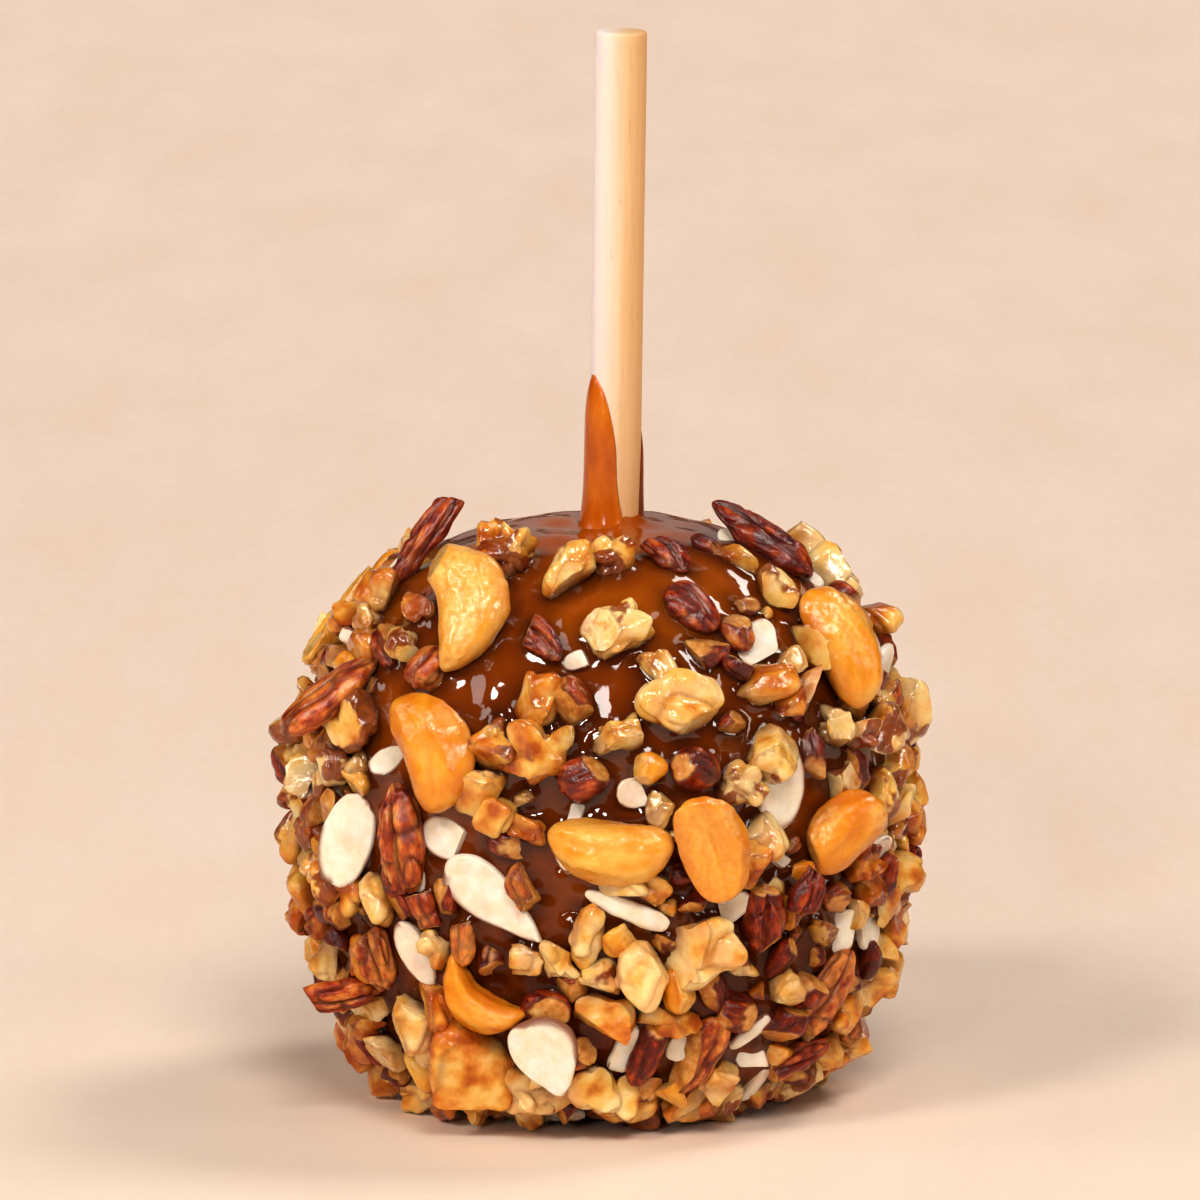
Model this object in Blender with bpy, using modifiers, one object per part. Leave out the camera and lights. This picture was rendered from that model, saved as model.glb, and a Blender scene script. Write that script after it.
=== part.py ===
"""Caramel apple: a coated apple on a round stick, rolled in whole and broken nuts.

The part stands on the flat foot of its caramel. The origin is the centre of that
foot, +Z is up, and the front of the apple faces -Y. Every topping of about a
centimetre or more is its own solid; the finer chopped nuts are left to the looks.
"""
import math
import random

import bmesh
import bpy
from mathutils import Matrix, Vector
from mathutils.bvhtree import BVHTree

MM = 0.001

# The coated apple: two half superellipses of revolution that meet at the waist.
WAIST_RADIUS = 41.0 * MM
WAIST_HEIGHT = 44.0 * MM
CROWN_HEIGHT = 39.0 * MM        # from the waist to the top of the shoulders
CROWN_POWER = 2.4
BASE_DEPTH = 46.5 * MM          # from the waist to where the lower half would close
BASE_POWER = 2.8
FOOT_HEIGHT = 0.0               # the foot is cut flat here
CROWN_RINGS = 12
BASE_RINGS = 9
COAT_STEPS = 40
LOBE_COUNT = 5                  # an apple's shoulders have five faint lobes
LOBE_DEPTH = 0.012
SIDE_SWELL = 0.010
SWELL_BEARING = 0.6             # radians from +X of its fuller side
DIMPLE_DEPTH = 2.2 * MM
DIMPLE_RADIUS = 8.0 * MM

# The stick, which leans a little to +X.
STICK_RADIUS = 3.65 * MM
STICK_LENGTH = 115.0 * MM
STICK_TOP = 152.6 * MM
STICK_OFFSET = 2.0 * MM         # of its axis at the crown, towards +X
STICK_LEAN = math.radians(0.8)
STICK_SIDES = 24
STICK_EDGE = 0.45 * MM
CROWN_Z = 81.0 * MM             # where the stick leaves the caramel
GAP = 0.3 * MM                  # between solids that touch

# Caramel that climbed the stick. Bearings go round the stick in degrees: 0 at +X, -90 in front.
TONGUE = {"tip": 103.8 * MM, "thickness": 1.0 * MM, "flare": 1.7 * MM}
TRICKLE = {"tip": 95.5 * MM, "thickness": 0.45 * MM, "flare": 0.8 * MM}
TONGUE_BACK = -205.0            # the hidden edge at its foot
TONGUE_BACK_TURN = 45.0         # how far that edge comes round by the tip
TONGUE_FRONT = -76.0            # the shown edge at its foot
TONGUE_NARROWING = 30.0         # how far the shown edge draws back all the way up
TONGUE_ROUNDING = 42.0          # how far it draws back near the tip
TONGUE_SPREAD = 34.0            # how far it runs out over the caramel at its foot
TRICKLE_BEARING = 2.0
TRICKLE_HALF = 20.0             # half its breadth at the foot
TRICKLE_TIP_HALF = 3.0
TONGUE_FOOT = 76.0 * MM
TONGUE_LEVELS = 13
TONGUE_ARC_POINTS = 11
TONGUE_INSIDE = 0.9             # of the stick's radius, well inside the bore that trims it
TONGUE_FULLNESS = 0.62          # a power that rounds its edges
TIP_THICKNESS = 0.25
TIP_POWER = 6
FLARE_HEIGHT = 2.6 * MM
FLARE_START = 80.0 * MM

# Nuts are laid on the face seen from a little above the horizon.
FACE_TILT = math.radians(10.0)
NUT_SEGMENTS = 8
NUT_RINGS = 7
END_FULLNESS = 2.8              # a power: 2 leaves a nut's ends as round as an ellipsoid's
CASHEW_TAPER = 0.16
PECAN_TAPER = 0.10
PECAN_GROOVE = 0.34             # depth of its groove as a share of half its thickness
PECAN_GROOVE_WIDTH = 0.3
ALMOND_EDGE = 0.45              # a power that squares the rim of a slice
WALNUT_ROUND_LUMPS = 0.13
WALNUT_LONG_LUMPS = 0.10
LIFT_STEP = 0.35 * MM
SETTLE_ROUNDS = 24
AIM_ROUNDS = 5
DRAW_IN = 0.99
FLOOR_CLEARANCE = 0.25 * MM
SINK_TOLERANCE = 0.01 * MM
NORMAL_PATCH = 3.0 * MM         # over which the faceted caramel's normal is averaged
NORMAL_PROBES = 6
SIGHT_DISTANCE = 0.2
NUT_SWELL = 1.05                # nuts are kept apart as if this much larger

COLOURS = {
    "coated_apple": ((0.30, 0.085, 0.015, 1.0), 0.18),
    "stick": ((0.86, 0.66, 0.40, 1.0), 0.60),
    "cashew": ((0.88, 0.52, 0.17, 1.0), 0.42),
    "pecan": ((0.33, 0.12, 0.05, 1.0), 0.45),
    "almond": ((0.93, 0.84, 0.68, 1.0), 0.50),
    "walnut": ((0.80, 0.53, 0.24, 1.0), 0.48),
}

# The large nuts of the front face, in millimetres and degrees: kind, across, up, spin, length,
# width, thickness, lift of the far end, share by which it faces forward, bend, taper or phase.
FRONT_NUTS = (
    ("cashew", -21.2, 69.2, -77, 19.0, 10.6, 6.0, 0, 0.45, 0.21),
    ("cashew", -24.2, 49.0, 116, 17.2, 10.8, 6.0, 0, 0.25, -0.12),
    ("cashew", 33.4, 63.4, -66, 18.0, 9.8, 6.6, 0, 0.50, 0.08),
    ("cashew", 1.4, 36.4, 175, 17.2, 9.2, 5.8, 0, 0.0, 0.07),
    ("cashew", 15.1, 35.5, -68, 15.4, 10.4, 5.0, 0, 0.10, 0.03),
    ("cashew", 34.4, 37.6, 35, 13.8, 9.2, 5.8, 0, 0.60, 0.05),
    ("cashew", -16.2, 15.6, 142, 14.0, 6.0, 5.2, 0, 0.20, 0.24),
    ("walnut", -17.2, 4.6, 80, 12.8, 11.4, 7.0, 0, 0.30, 0.6),
    ("pecan", -24.8, 79.4, 62, 17.6, 5.2, 4.4, 16, 0.30, 0.02),
    ("pecan", 23.4, 79.2, -48, 18.6, 5.8, 4.6, 0, 0.40, 0.06),
    ("pecan", -38.2, 57.4, -130, 17.4, 6.8, 5.0, 34, 0.10, 0.04),
    ("pecan", -36.8, 14.0, 180, 13.0, 4.8, 4.4, 60, 0.0, 0.02),
    ("pecan", -28.0, 36.9, -86, 16.0, 6.8, 5.0, 0, 0.25, 0.05),
    ("pecan", 13.0, 69.3, -50, 9.4, 6.1, 3.6, 0, 0.20, 0.03),
    ("pecan", 8.9, 77.2, -60, 10.0, 5.2, 3.8, 0, 0.20, 0.03),
    ("pecan", -8.7, 65.1, -50, 9.8, 4.6, 3.6, 0, 0.10, 0.03),
    ("pecan", 23.1, 26.2, -85, 12.0, 6.0, 4.5, 0, 0.20, 0.05),
    ("pecan", 29.9, 29.4, 65, 9.4, 4.6, 4.0, 0, 0.30, 0.04),
    ("pecan", 13.7, 6.0, 68, 14.0, 6.2, 4.5, 0, 0.20, 0.05),
    ("pecan", 6.6, 7.0, 75, 12.2, 4.4, 4.0, 0, 0.20, 0.04),
    ("pecan", 27.4, 5.2, 8, 12.0, 4.4, 4.0, 0, 0.30, 0.04),
    ("pecan", 35.0, 13.0, 50, 15.0, 7.0, 3.8, 0, 0.30, 0.06),
    ("pecan", -31.8, 20.3, -80, 10.6, 6.0, 4.8, 0, 0.40, 0.02),
    ("almond", -35.4, 36.6, 70, 14.0, 8.0, 1.3, 0, 0.62, 0.22),
    ("almond", -14.6, 28.2, -38, 17.5, 6.4, 1.5, 0, 0.10, 0.55),
    ("almond", -25.8, 20.8, -60, 10.2, 4.6, 1.5, 0, 0.30, 0.20),
    ("almond", 3.7, 27.2, -24, 12.8, 3.0, 1.8, 0, 0.0, 0.05),
    ("almond", -7.2, 6.4, -75, 12.6, 8.6, 1.8, 0, 0.25, 0.35),
    ("almond", 25.2, 44.5, 85, 13.0, 7.2, 1.3, 0, 0.15, 0.22),
    ("walnut", 11.7, 55.5, -20, 10.8, 8.2, 5.0, 0, 0.10, 0.3),
    ("walnut", -4.4, 73.7, 80, 9.6, 5.0, 4.4, 0, 0.20, 1.1),
    ("walnut", 2.5, 65.4, 30, 8.6, 6.2, 4.6, 0, 0.10, 2.3),
    ("walnut", 14.3, 21.5, 20, 10.0, 7.8, 5.0, 0, 0.10, 3.1),
    ("walnut", 5.2, 18.6, 60, 8.4, 6.8, 5.0, 0, 0.10, 4.4),
)

# The large nuts of the sides and back follow a seeded rule with these mean sizes.
SIDE_SEED = 7
SIDE_COUNTS = (("cashew", 6), ("pecan", 9), ("almond", 5), ("walnut", 4))
SIDE_SIZES = {
    "cashew": (16.0, 8.4, 5.2, 0.13),
    "pecan": (12.5, 5.6, 4.2, 0.05),
    "almond": (12.5, 6.8, 1.4, 0.25),
    "walnut": (9.6, 7.0, 4.8, 1.0),
}
SIDE_AZIMUTHS = (100.0, 260.0)  # 0 at the front, going round by +X
SIDE_HEIGHTS = (9.0, 62.0)      # millimetres up the face
SIDE_LIFTS = (0.0, 0.0, 0.0, 8.0, 20.0)
SIDE_LENGTHS = (0.86, 1.14)     # spreads, as shares of the mean
SIDE_WIDTHS = (0.9, 1.1)
SIDE_SHAPES = (0.6, 1.4)
SIDE_SPACING = 11.5 * MM        # between the centres of neighbours


def clear_scene():
    for item in list(bpy.data.objects):
        bpy.data.objects.remove(item)


def new_collection(name):
    collection = bpy.data.collections.new(name)
    bpy.context.scene.collection.children.link(collection)
    return collection


def new_material(kind, name):
    colour, roughness = COLOURS[kind]
    material = bpy.data.materials.new(name)
    material.use_nodes = True
    shader = material.node_tree.nodes["Principled BSDF"]
    shader.inputs["Base Color"].default_value = colour
    shader.inputs["Roughness"].default_value = roughness
    shader.inputs["Metallic"].default_value = 0.0
    return material


def add_object(name, mesh, collection):
    item = bpy.data.objects.new(name, mesh)
    collection.objects.link(item)
    return item


def make_cutter(item):
    item.hide_render = True
    item.display_type = "WIRE"


def evaluated_mesh(item):
    graph = bpy.context.evaluated_depsgraph_get()
    return bpy.data.meshes.new_from_object(item.evaluated_get(graph))


def bmesh_to_mesh(shape, name):
    mesh = bpy.data.meshes.new(name)
    shape.to_mesh(mesh)
    shape.free()
    mesh.shade_smooth()
    return mesh


# ---- the coated apple -------------------------------------------------------

def crown_point(share):
    """A point of the upper profile: share 0 at the top, 1 at the waist."""
    turn = share * math.pi / 2
    radius = WAIST_RADIUS * math.sin(turn) ** (2 / CROWN_POWER)
    height = WAIST_HEIGHT + CROWN_HEIGHT * math.cos(turn) ** (2 / CROWN_POWER)
    return radius, height


def base_radius(height):
    share = (WAIST_HEIGHT - height) / BASE_DEPTH
    return WAIST_RADIUS * (1 - share ** BASE_POWER) ** (1 / BASE_POWER)


def coat_profile():
    """Radius and height from the top of the axis down the outside to the foot's centre."""
    points = [crown_point(step / CROWN_RINGS) for step in range(CROWN_RINGS + 1)]
    for step in range(1, BASE_RINGS + 1):
        share = math.sin(math.pi / 2 * step / BASE_RINGS)
        height = WAIST_HEIGHT + (FOOT_HEIGHT - WAIST_HEIGHT) * share
        points.append((base_radius(height), height))
    points.append((0.0, FOOT_HEIGHT))
    return points


def shape_coat(point):
    """Shift a turned point by the apple's lobes, one fuller side and the stick's dimple."""
    turn = math.atan2(point.y, point.x)
    rise = max(0.0, (point.z - FOOT_HEIGHT) / (WAIST_HEIGHT + CROWN_HEIGHT))
    swell = 1 + LOBE_DEPTH * rise * math.cos(LOBE_COUNT * turn) + SIDE_SWELL * math.cos(turn - SWELL_BEARING)
    shaped = Vector((point.x * swell, point.y * swell, point.z))
    if point.z > WAIST_HEIGHT:
        away = math.hypot(shaped.x - STICK_OFFSET, shaped.y)
        shaped.z -= DIMPLE_DEPTH * math.exp(-(away / DIMPLE_RADIUS) ** 2)
    return shaped


def turned_coat(collection):
    mesh = bpy.data.meshes.new("coat_profile")
    points = [(radius, 0.0, height) for radius, height in coat_profile()]
    edges = [(index, index + 1) for index in range(len(points) - 1)]
    mesh.from_pydata(points, edges, [])
    profile = add_object("coat_profile", mesh, collection)
    screw = profile.modifiers.new("turn", "SCREW")
    screw.steps = COAT_STEPS
    screw.render_steps = COAT_STEPS
    screw.use_merge_vertices = True
    screw.merge_threshold = 0.00005
    bpy.context.view_layer.update()
    turned = evaluated_mesh(profile)
    bpy.data.objects.remove(profile)
    for vertex in turned.vertices:
        vertex.co = shape_coat(vertex.co)
    return turned


# ---- the stick and the caramel on it ----------------------------------------

def stick_matrix():
    """Places things along the stick: local Z is its axis, local 0 where it leaves the caramel."""
    place = Matrix.Translation((STICK_OFFSET, 0.0, CROWN_Z))
    return place @ Matrix.Rotation(STICK_LEAN, 4, "Y")


def cylinder_mesh(name, radius, low, high, sides):
    shape = bmesh.new()
    middle = Matrix.Translation((0.0, 0.0, (low + high) / 2))
    bmesh.ops.create_cone(
        shape, cap_ends=True, segments=sides, radius1=radius, radius2=radius, depth=high - low, matrix=middle
    )
    return bmesh_to_mesh(shape, name)


def tongue_edges(share):
    """Bearings of the tongue's hidden and shown edges, from its foot to its rounded tip."""
    back = TONGUE_BACK + TONGUE_BACK_TURN * share ** 6
    front = TONGUE_FRONT - TONGUE_NARROWING * share ** 1.3 - TONGUE_ROUNDING * share ** 9
    front += TONGUE_SPREAD * math.exp(-share / 0.06)
    return math.radians(back), math.radians(front)


def trickle_edges(share):
    half = TRICKLE_HALF * (1 - share ** 2) + TRICKLE_TIP_HALF
    return math.radians(TRICKLE_BEARING - half), math.radians(TRICKLE_BEARING + half)


def tongue_mesh(name, run, edges):
    """A loft of crescents round the stick that narrows to its tip."""
    inner = STICK_RADIUS
    shape = bmesh.new()
    rings = []
    for level in range(TONGUE_LEVELS + 1):
        share = level / TONGUE_LEVELS
        height = TONGUE_FOOT + (run["tip"] - TONGUE_FOOT) * share
        back, front = edges(max(0.0, height - CROWN_Z) / (run["tip"] - CROWN_Z))
        flare = run["flare"] * math.exp(-max(0.0, height - FLARE_START) / FLARE_HEIGHT)
        thickness = GAP + (run["thickness"] + flare) * max(TIP_THICKNESS, 1 - share ** TIP_POWER)
        ring = []
        for step in range(TONGUE_ARC_POINTS):
            across = 2 * step / (TONGUE_ARC_POINTS - 1) - 1
            radius = inner + thickness * math.cos(across * math.pi / 2) ** TONGUE_FULLNESS
            turn = (back + front) / 2 + (front - back) / 2 * across
            ring.append((radius * math.cos(turn), radius * math.sin(turn), height - CROWN_Z))
        for step in range(TONGUE_ARC_POINTS - 2, 0, -1):
            across = 2 * step / (TONGUE_ARC_POINTS - 1) - 1
            turn = (back + front) / 2 + (front - back) / 2 * across
            radius = inner * TONGUE_INSIDE
            ring.append((radius * math.cos(turn), radius * math.sin(turn), height - CROWN_Z))
        rings.append([shape.verts.new(point) for point in ring])
    for lower, upper in zip(rings, rings[1:]):
        for index in range(len(lower)):
            after = (index + 1) % len(lower)
            shape.faces.new((lower[index], lower[after], upper[after], upper[index]))
    shape.faces.new(list(reversed(rings[0])))
    shape.faces.new(rings[-1])
    bmesh.ops.recalc_face_normals(shape, faces=shape.faces)
    return bmesh_to_mesh(shape, name)


def add_boolean(item, other, operation):
    modifier = item.modifiers.new(other.name, "BOOLEAN")
    modifier.operation = operation
    modifier.solver = "EXACT"
    modifier.object = other


def build_coated_apple(parts, cutters):
    coat = add_object("coated_apple", turned_coat(cutters), parts)
    coat.data.materials.append(new_material("coated_apple", "caramel"))
    for name, run, edges in (("tongue", TONGUE, tongue_edges), ("trickle", TRICKLE, trickle_edges)):
        piece = add_object(name, tongue_mesh(name, run, edges), cutters)
        piece.matrix_world = stick_matrix()
        make_cutter(piece)
        add_boolean(coat, piece, "UNION")
    low = STICK_TOP - STICK_LENGTH - CROWN_Z - GAP
    high = STICK_TOP - CROWN_Z
    bore_mesh = cylinder_mesh("stick_bore", STICK_RADIUS + GAP, low, high, STICK_SIDES)
    bore = add_object("stick_bore", bore_mesh, cutters)
    bore.matrix_world = stick_matrix()
    make_cutter(bore)
    add_boolean(coat, bore, "DIFFERENCE")
    return coat


def build_stick(parts):
    low = STICK_TOP - STICK_LENGTH - CROWN_Z
    high = STICK_TOP - CROWN_Z
    stick = add_object("stick", cylinder_mesh("stick", STICK_RADIUS, low, high, STICK_SIDES), parts)
    stick.matrix_world = stick_matrix()
    bevel = stick.modifiers.new("eased_ends", "BEVEL")
    bevel.width = STICK_EDGE
    bevel.segments = 2
    bevel.limit_method = "ANGLE"
    stick.data.materials.append(new_material("stick", "stick_wood"))


# ---- nut forms: a unit sphere with its poles along the nut ------------------

def blunt(along):
    """Makes a sphere's ends fuller, as on a nut."""
    return math.sqrt(max(0.0, 1 - abs(along) ** END_FULLNESS)) / math.sqrt(max(1e-9, 1 - along ** 2))


def cashew_form(along, side, top, size, bend):
    length, width, thickness = size
    girth = blunt(along) * (1 - CASHEW_TAPER * along)
    arc = bend * length * (0.5 - along ** 2)
    return length / 2 * along, width / 2 * side * girth + arc, thickness / 2 * top * girth


def pecan_form(along, side, top, size, arch):
    length, width, thickness = size
    girth = blunt(along) * (1 - PECAN_TAPER * along)
    groove = PECAN_GROOVE * math.exp(-(side / PECAN_GROOVE_WIDTH) ** 2) if top > 0 else 0.0
    rise = thickness / 2 * (top * girth - groove * math.sqrt(1 - along ** 2))
    return length / 2 * along, width / 2 * side * girth, rise - arch * length * along ** 2


def almond_form(along, side, top, size, taper):
    length, width, thickness = size
    girth = 1 - taper * along
    slab = math.copysign(abs(top) ** ALMOND_EDGE, top)
    return length / 2 * along, width / 2 * side * girth, thickness / 2 * slab


def walnut_form(along, side, top, size, phase):
    length, width, thickness = size
    turn = math.atan2(top, side)
    round_lumps = WALNUT_ROUND_LUMPS * math.sin(3 * turn + phase)
    long_lumps = WALNUT_LONG_LUMPS * math.cos(5 * along + 2 * phase)
    girth = blunt(along) * (1 + round_lumps + long_lumps)
    return length / 2 * along, width / 2 * side * girth, thickness / 2 * top * girth


FORMS = {"cashew": cashew_form, "pecan": pecan_form, "almond": almond_form, "walnut": walnut_form}


def nut_mesh(name, kind, size, shape_value):
    shape = bmesh.new()
    bmesh.ops.create_uvsphere(shape, u_segments=NUT_SEGMENTS, v_segments=NUT_RINGS, radius=1.0)
    for vertex in shape.verts:
        side, top, along = vertex.co
        vertex.co = FORMS[kind](along, side, top, size, shape_value)
    return bmesh_to_mesh(shape, name)


# ---- laying nuts on the caramel ---------------------------------------------

class Face:
    """A side of the apple seen from an azimuth and a little above: 0 is the front."""

    def __init__(self, azimuth):
        turn = Matrix.Rotation(azimuth, 3, "Z")
        self.right = turn @ Vector((1.0, 0.0, 0.0))
        self.upright = turn @ Vector((0.0, math.sin(FACE_TILT), math.cos(FACE_TILT)))
        self.ahead = self.right.cross(self.upright)


class Bed:
    """The caramel and the nuts that already lie on it."""

    def __init__(self, coat):
        self.caramel = BVHTree.FromObject(coat, bpy.context.evaluated_depsgraph_get())
        self.nuts = []

    def face_point(self, face, across, up):
        """The caramel's point and outward normal at a place on a face.

        A place beyond the caramel's outline is drawn in towards the middle until it meets it.
        """
        spot = None
        while spot is None:
            start = face.right * across + face.upright * up + face.ahead * SIGHT_DISTANCE
            spot = self.caramel.ray_cast(start, -face.ahead)[0]
            across *= DRAW_IN
            up = WAIST_HEIGHT + (up - WAIST_HEIGHT) * DRAW_IN
        return spot, self.outward(spot)

    def outward(self, spot):
        """A smooth normal: the mean over a small patch of the faceted caramel."""
        total = Vector((0.0, 0.0, 0.0))
        for step in range(NORMAL_PROBES):
            turn = step * 2 * math.pi / NORMAL_PROBES
            patch = Vector((math.cos(turn), math.sin(turn), math.sin(2 * turn))) * NORMAL_PATCH
            total += self.caramel.find_nearest(spot + patch)[1]
        return total.normalized()

    def sinks(self, points):
        """How far the deepest of the points is short of its gap over the caramel."""
        worst = 0.0
        for point in points:
            near, normal, _, distance = self.caramel.find_nearest(point)
            above = distance if (point - near).dot(normal) > 0 else -distance
            worst = max(worst, GAP - above)
        return worst

    def touches(self, mesh, matrix):
        swollen = matrix @ Matrix.Scale(NUT_SWELL, 4)
        corners = [swollen @ vertex.co for vertex in mesh.vertices]
        tree = BVHTree.FromPolygons(corners, [tuple(face.vertices) for face in mesh.polygons])
        return any(tree.overlap(other) for _, other in self.nuts), tree


def nut_axes(normal, face, spin, lift, facing):
    """Length, width and outward axes of a nut.

    It lies flat on the caramel, turned by its spin. Facing turns its outward axis part of the
    way from the caramel's normal to straight ahead, and lift raises its far end.
    """
    top = (normal * (1 - facing) + face.ahead * facing).normalized()
    along = face.right * math.cos(spin) + face.upright * math.sin(spin)
    along = (along - top * along.dot(top)).normalized()
    side = top.cross(along).normalized()
    along = Matrix.Rotation(-lift, 3, side) @ along
    top = along.cross(side).normalized()
    return Matrix((along, side, top)).transposed()


def settle(bed, mesh, face, aim, turns, climbs):
    """Matrix and search tree of a nut raised just clear of what lies under an aimed place."""
    spot, normal = bed.face_point(face, *aim)
    axes = nut_axes(normal, face, *turns).to_4x4()
    height = 0.0
    for _ in range(SETTLE_ROUNDS):
        matrix = Matrix.Translation(spot + normal * height) @ axes
        points = [matrix @ vertex.co for vertex in mesh.vertices]
        sink = bed.sinks(points)
        if sink > SINK_TOLERANCE:
            height += sink
            continue
        touching, tree = bed.touches(mesh, matrix)
        if not touching:
            low = min(point.z for point in points)
            return (matrix, tree) if low > FLOOR_CLEARANCE else None
        if not climbs:
            return None
        height += LIFT_STEP
    return None


def lay_nut(bed, mesh, face, across, up, turns, climbs):
    """The matrix of a nut whose centre shows at a place on a face, or None where it can't."""
    wanted = Vector((across, up))
    aim = wanted.copy()
    for _ in range(AIM_ROUNDS):
        settled = settle(bed, mesh, face, aim, turns, climbs)
        if settled is None:
            return None
        centre = settled[0].translation
        aim += wanted - Vector((centre.dot(face.right), centre.dot(face.upright)))
    matrix, tree = settled
    bed.nuts.append((matrix.translation.copy(), tree))
    return matrix


def add_nut(name, kind, mesh, matrix, parts):
    nut = add_object(name, mesh, parts)
    nut.matrix_world = matrix
    nut.data.materials.append(new_material(kind, name))


def build_front_nuts(bed, parts, numbers):
    front = Face(0.0)
    for kind, across, up, spin, length, width, thickness, lift, facing, shape_value in FRONT_NUTS:
        numbers[kind] += 1
        name = f"{kind}_{numbers[kind]:02d}"
        mesh = nut_mesh(name, kind, (length * MM, width * MM, thickness * MM), shape_value)
        turns = (math.radians(spin), math.radians(lift), facing)
        matrix = lay_nut(bed, mesh, front, across * MM, up * MM, turns, climbs=True)
        if matrix is None:
            raise ValueError(f"{name} finds no place")
        add_nut(name, kind, mesh, matrix, parts)


def build_side_nuts(bed, parts, numbers):
    """Large nuts round the sides and the back, kept apart from each other and the front's."""
    draw = random.Random(SIDE_SEED)
    queue = [kind for kind, count in SIDE_COUNTS for _ in range(count)]
    draw.shuffle(queue)
    for kind in queue:
        length, width, thickness, shape_value = SIDE_SIZES[kind]
        scale = draw.uniform(*SIDE_LENGTHS)
        size = (length * scale * MM, width * draw.uniform(*SIDE_WIDTHS) * MM, thickness * MM)
        numbers[kind] += 1
        name = f"{kind}_{numbers[kind]:02d}"
        mesh = nut_mesh(name, kind, size, shape_value * draw.uniform(*SIDE_SHAPES))
        matrix = None
        while matrix is None:
            face = Face(math.radians(draw.uniform(*SIDE_AZIMUTHS)))
            up = draw.uniform(*SIDE_HEIGHTS) * MM
            spot = bed.face_point(face, 0.0, up)[0]
            if any((spot - centre).length < SIDE_SPACING for centre, _ in bed.nuts):
                continue
            turns = (draw.uniform(0.0, 2 * math.pi), math.radians(draw.choice(SIDE_LIFTS)), 0.0)
            matrix = lay_nut(bed, mesh, face, 0.0, up, turns, climbs=False)
        add_nut(name, kind, mesh, matrix, parts)


def build():
    clear_scene()
    parts = new_collection("caramel_apple")
    cutters = new_collection("cutters")
    coat = build_coated_apple(parts, cutters)
    build_stick(parts)
    bpy.context.view_layer.update()
    bed = Bed(coat)
    numbers = {kind: 0 for kind in FORMS}
    build_front_nuts(bed, parts, numbers)
    build_side_nuts(bed, parts, numbers)


build()
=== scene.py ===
"""Looks of the caramel apple: poured caramel, roasted and broken nuts, a birch stick.

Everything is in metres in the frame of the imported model. The large nuts are rebuilt in
detail where the model's nut solids lie; the finer chopped nuts, slivers and crumbs are
laid between them, and the caramel is drawn up round all of them.
"""
import math
import random

import bmesh
import bpy
import numpy as np
from mathutils import Matrix, Vector
from mathutils.bvhtree import BVHTree


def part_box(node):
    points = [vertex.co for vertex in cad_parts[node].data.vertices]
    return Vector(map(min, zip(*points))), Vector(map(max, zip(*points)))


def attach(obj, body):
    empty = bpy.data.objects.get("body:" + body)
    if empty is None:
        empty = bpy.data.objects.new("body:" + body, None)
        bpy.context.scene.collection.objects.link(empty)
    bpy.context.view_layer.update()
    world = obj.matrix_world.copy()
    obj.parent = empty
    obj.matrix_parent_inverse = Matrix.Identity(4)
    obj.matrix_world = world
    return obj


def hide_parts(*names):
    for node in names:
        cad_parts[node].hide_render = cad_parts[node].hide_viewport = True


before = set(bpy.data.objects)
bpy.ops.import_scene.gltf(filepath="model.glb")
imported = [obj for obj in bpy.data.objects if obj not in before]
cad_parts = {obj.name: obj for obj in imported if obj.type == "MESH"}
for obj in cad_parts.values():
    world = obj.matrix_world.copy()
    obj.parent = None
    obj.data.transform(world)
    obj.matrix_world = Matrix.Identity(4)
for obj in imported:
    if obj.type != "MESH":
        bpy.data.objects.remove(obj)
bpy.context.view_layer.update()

MM = 0.001
SEED = 20

# ---- the coat's form, as the model's ----
WAIST_RADIUS = 41.0 * MM
WAIST_HEIGHT = 44.0 * MM
CROWN_HEIGHT = 39.0 * MM
CROWN_POWER = 2.4
BASE_DEPTH = 46.5 * MM
BASE_POWER = 2.8
LOBE_COUNT = 5
LOBE_DEPTH = 0.012
SIDE_SWELL = 0.010
SWELL_BEARING = 0.6             # radians from +X of its fuller side
DIMPLE_DEPTH = 2.2 * MM
DIMPLE_RADIUS = 8.0 * MM

# ---- the stick ----
STICK_RADIUS = 3.65 * MM
STICK_TOP = 152.6 * MM
STICK_OFFSET = 2.0 * MM
STICK_LEAN = math.radians(0.8)
CROWN_Z = 81.0 * MM

FACE_TILT = math.radians(10.0)  # how far above the level each side is looked at from
PROBE = 0.05 * MM               # step for finding the caramel's slope
SEARCH_FROM = 75.0 * MM         # in front of the middle, where the search for the caramel starts
SEARCH_TO = -50.0 * MM
SEARCH_STEPS = 126
SEARCH_HALVINGS = 12


# ============================ numbers and noise ==============================

CELL_PRIMES = (374761393, 668265263, 1440662683)
SEED_PRIME = 974634777
MIXING_PRIME = 1274126177
LONG_WORD = 0xFFFFFFFF
SHORT_WORD = 0xFFFF


def lattice(cell, seed):
    """A repeatable value from -1 to 1 for each whole-number cell."""
    mixed = (cell @ CELL_PRIMES + seed * SEED_PRIME) & LONG_WORD
    mixed = ((mixed ^ (mixed >> 13)) * MIXING_PRIME) & LONG_WORD
    return ((mixed ^ (mixed >> 16)) & SHORT_WORD) / (SHORT_WORD / 2) - 1


def noise(points, size, seed=0):
    """Smooth noise from -1 to 1 at each point, with features of a size."""
    scaled = np.asarray(points) / size + 57.3
    base = np.floor(scaled).astype(np.int64)
    part = scaled - base
    part = part * part * (3 - 2 * part)
    total = 0.0
    for corner in range(8):
        shift = np.array([corner & 1, corner >> 1 & 1, corner >> 2 & 1])
        weight = np.prod(np.where(shift, part, 1 - part), axis=1)
        total = total + weight * lattice(base + shift, seed)
    return total


def layered(points, size, seed=0, layers=3):
    """Noise with finer noise over it, each layer half the size and strength of the last."""
    return sum(noise(points, size / 2 ** step, seed + step) / 2 ** step for step in range(layers))


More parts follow.
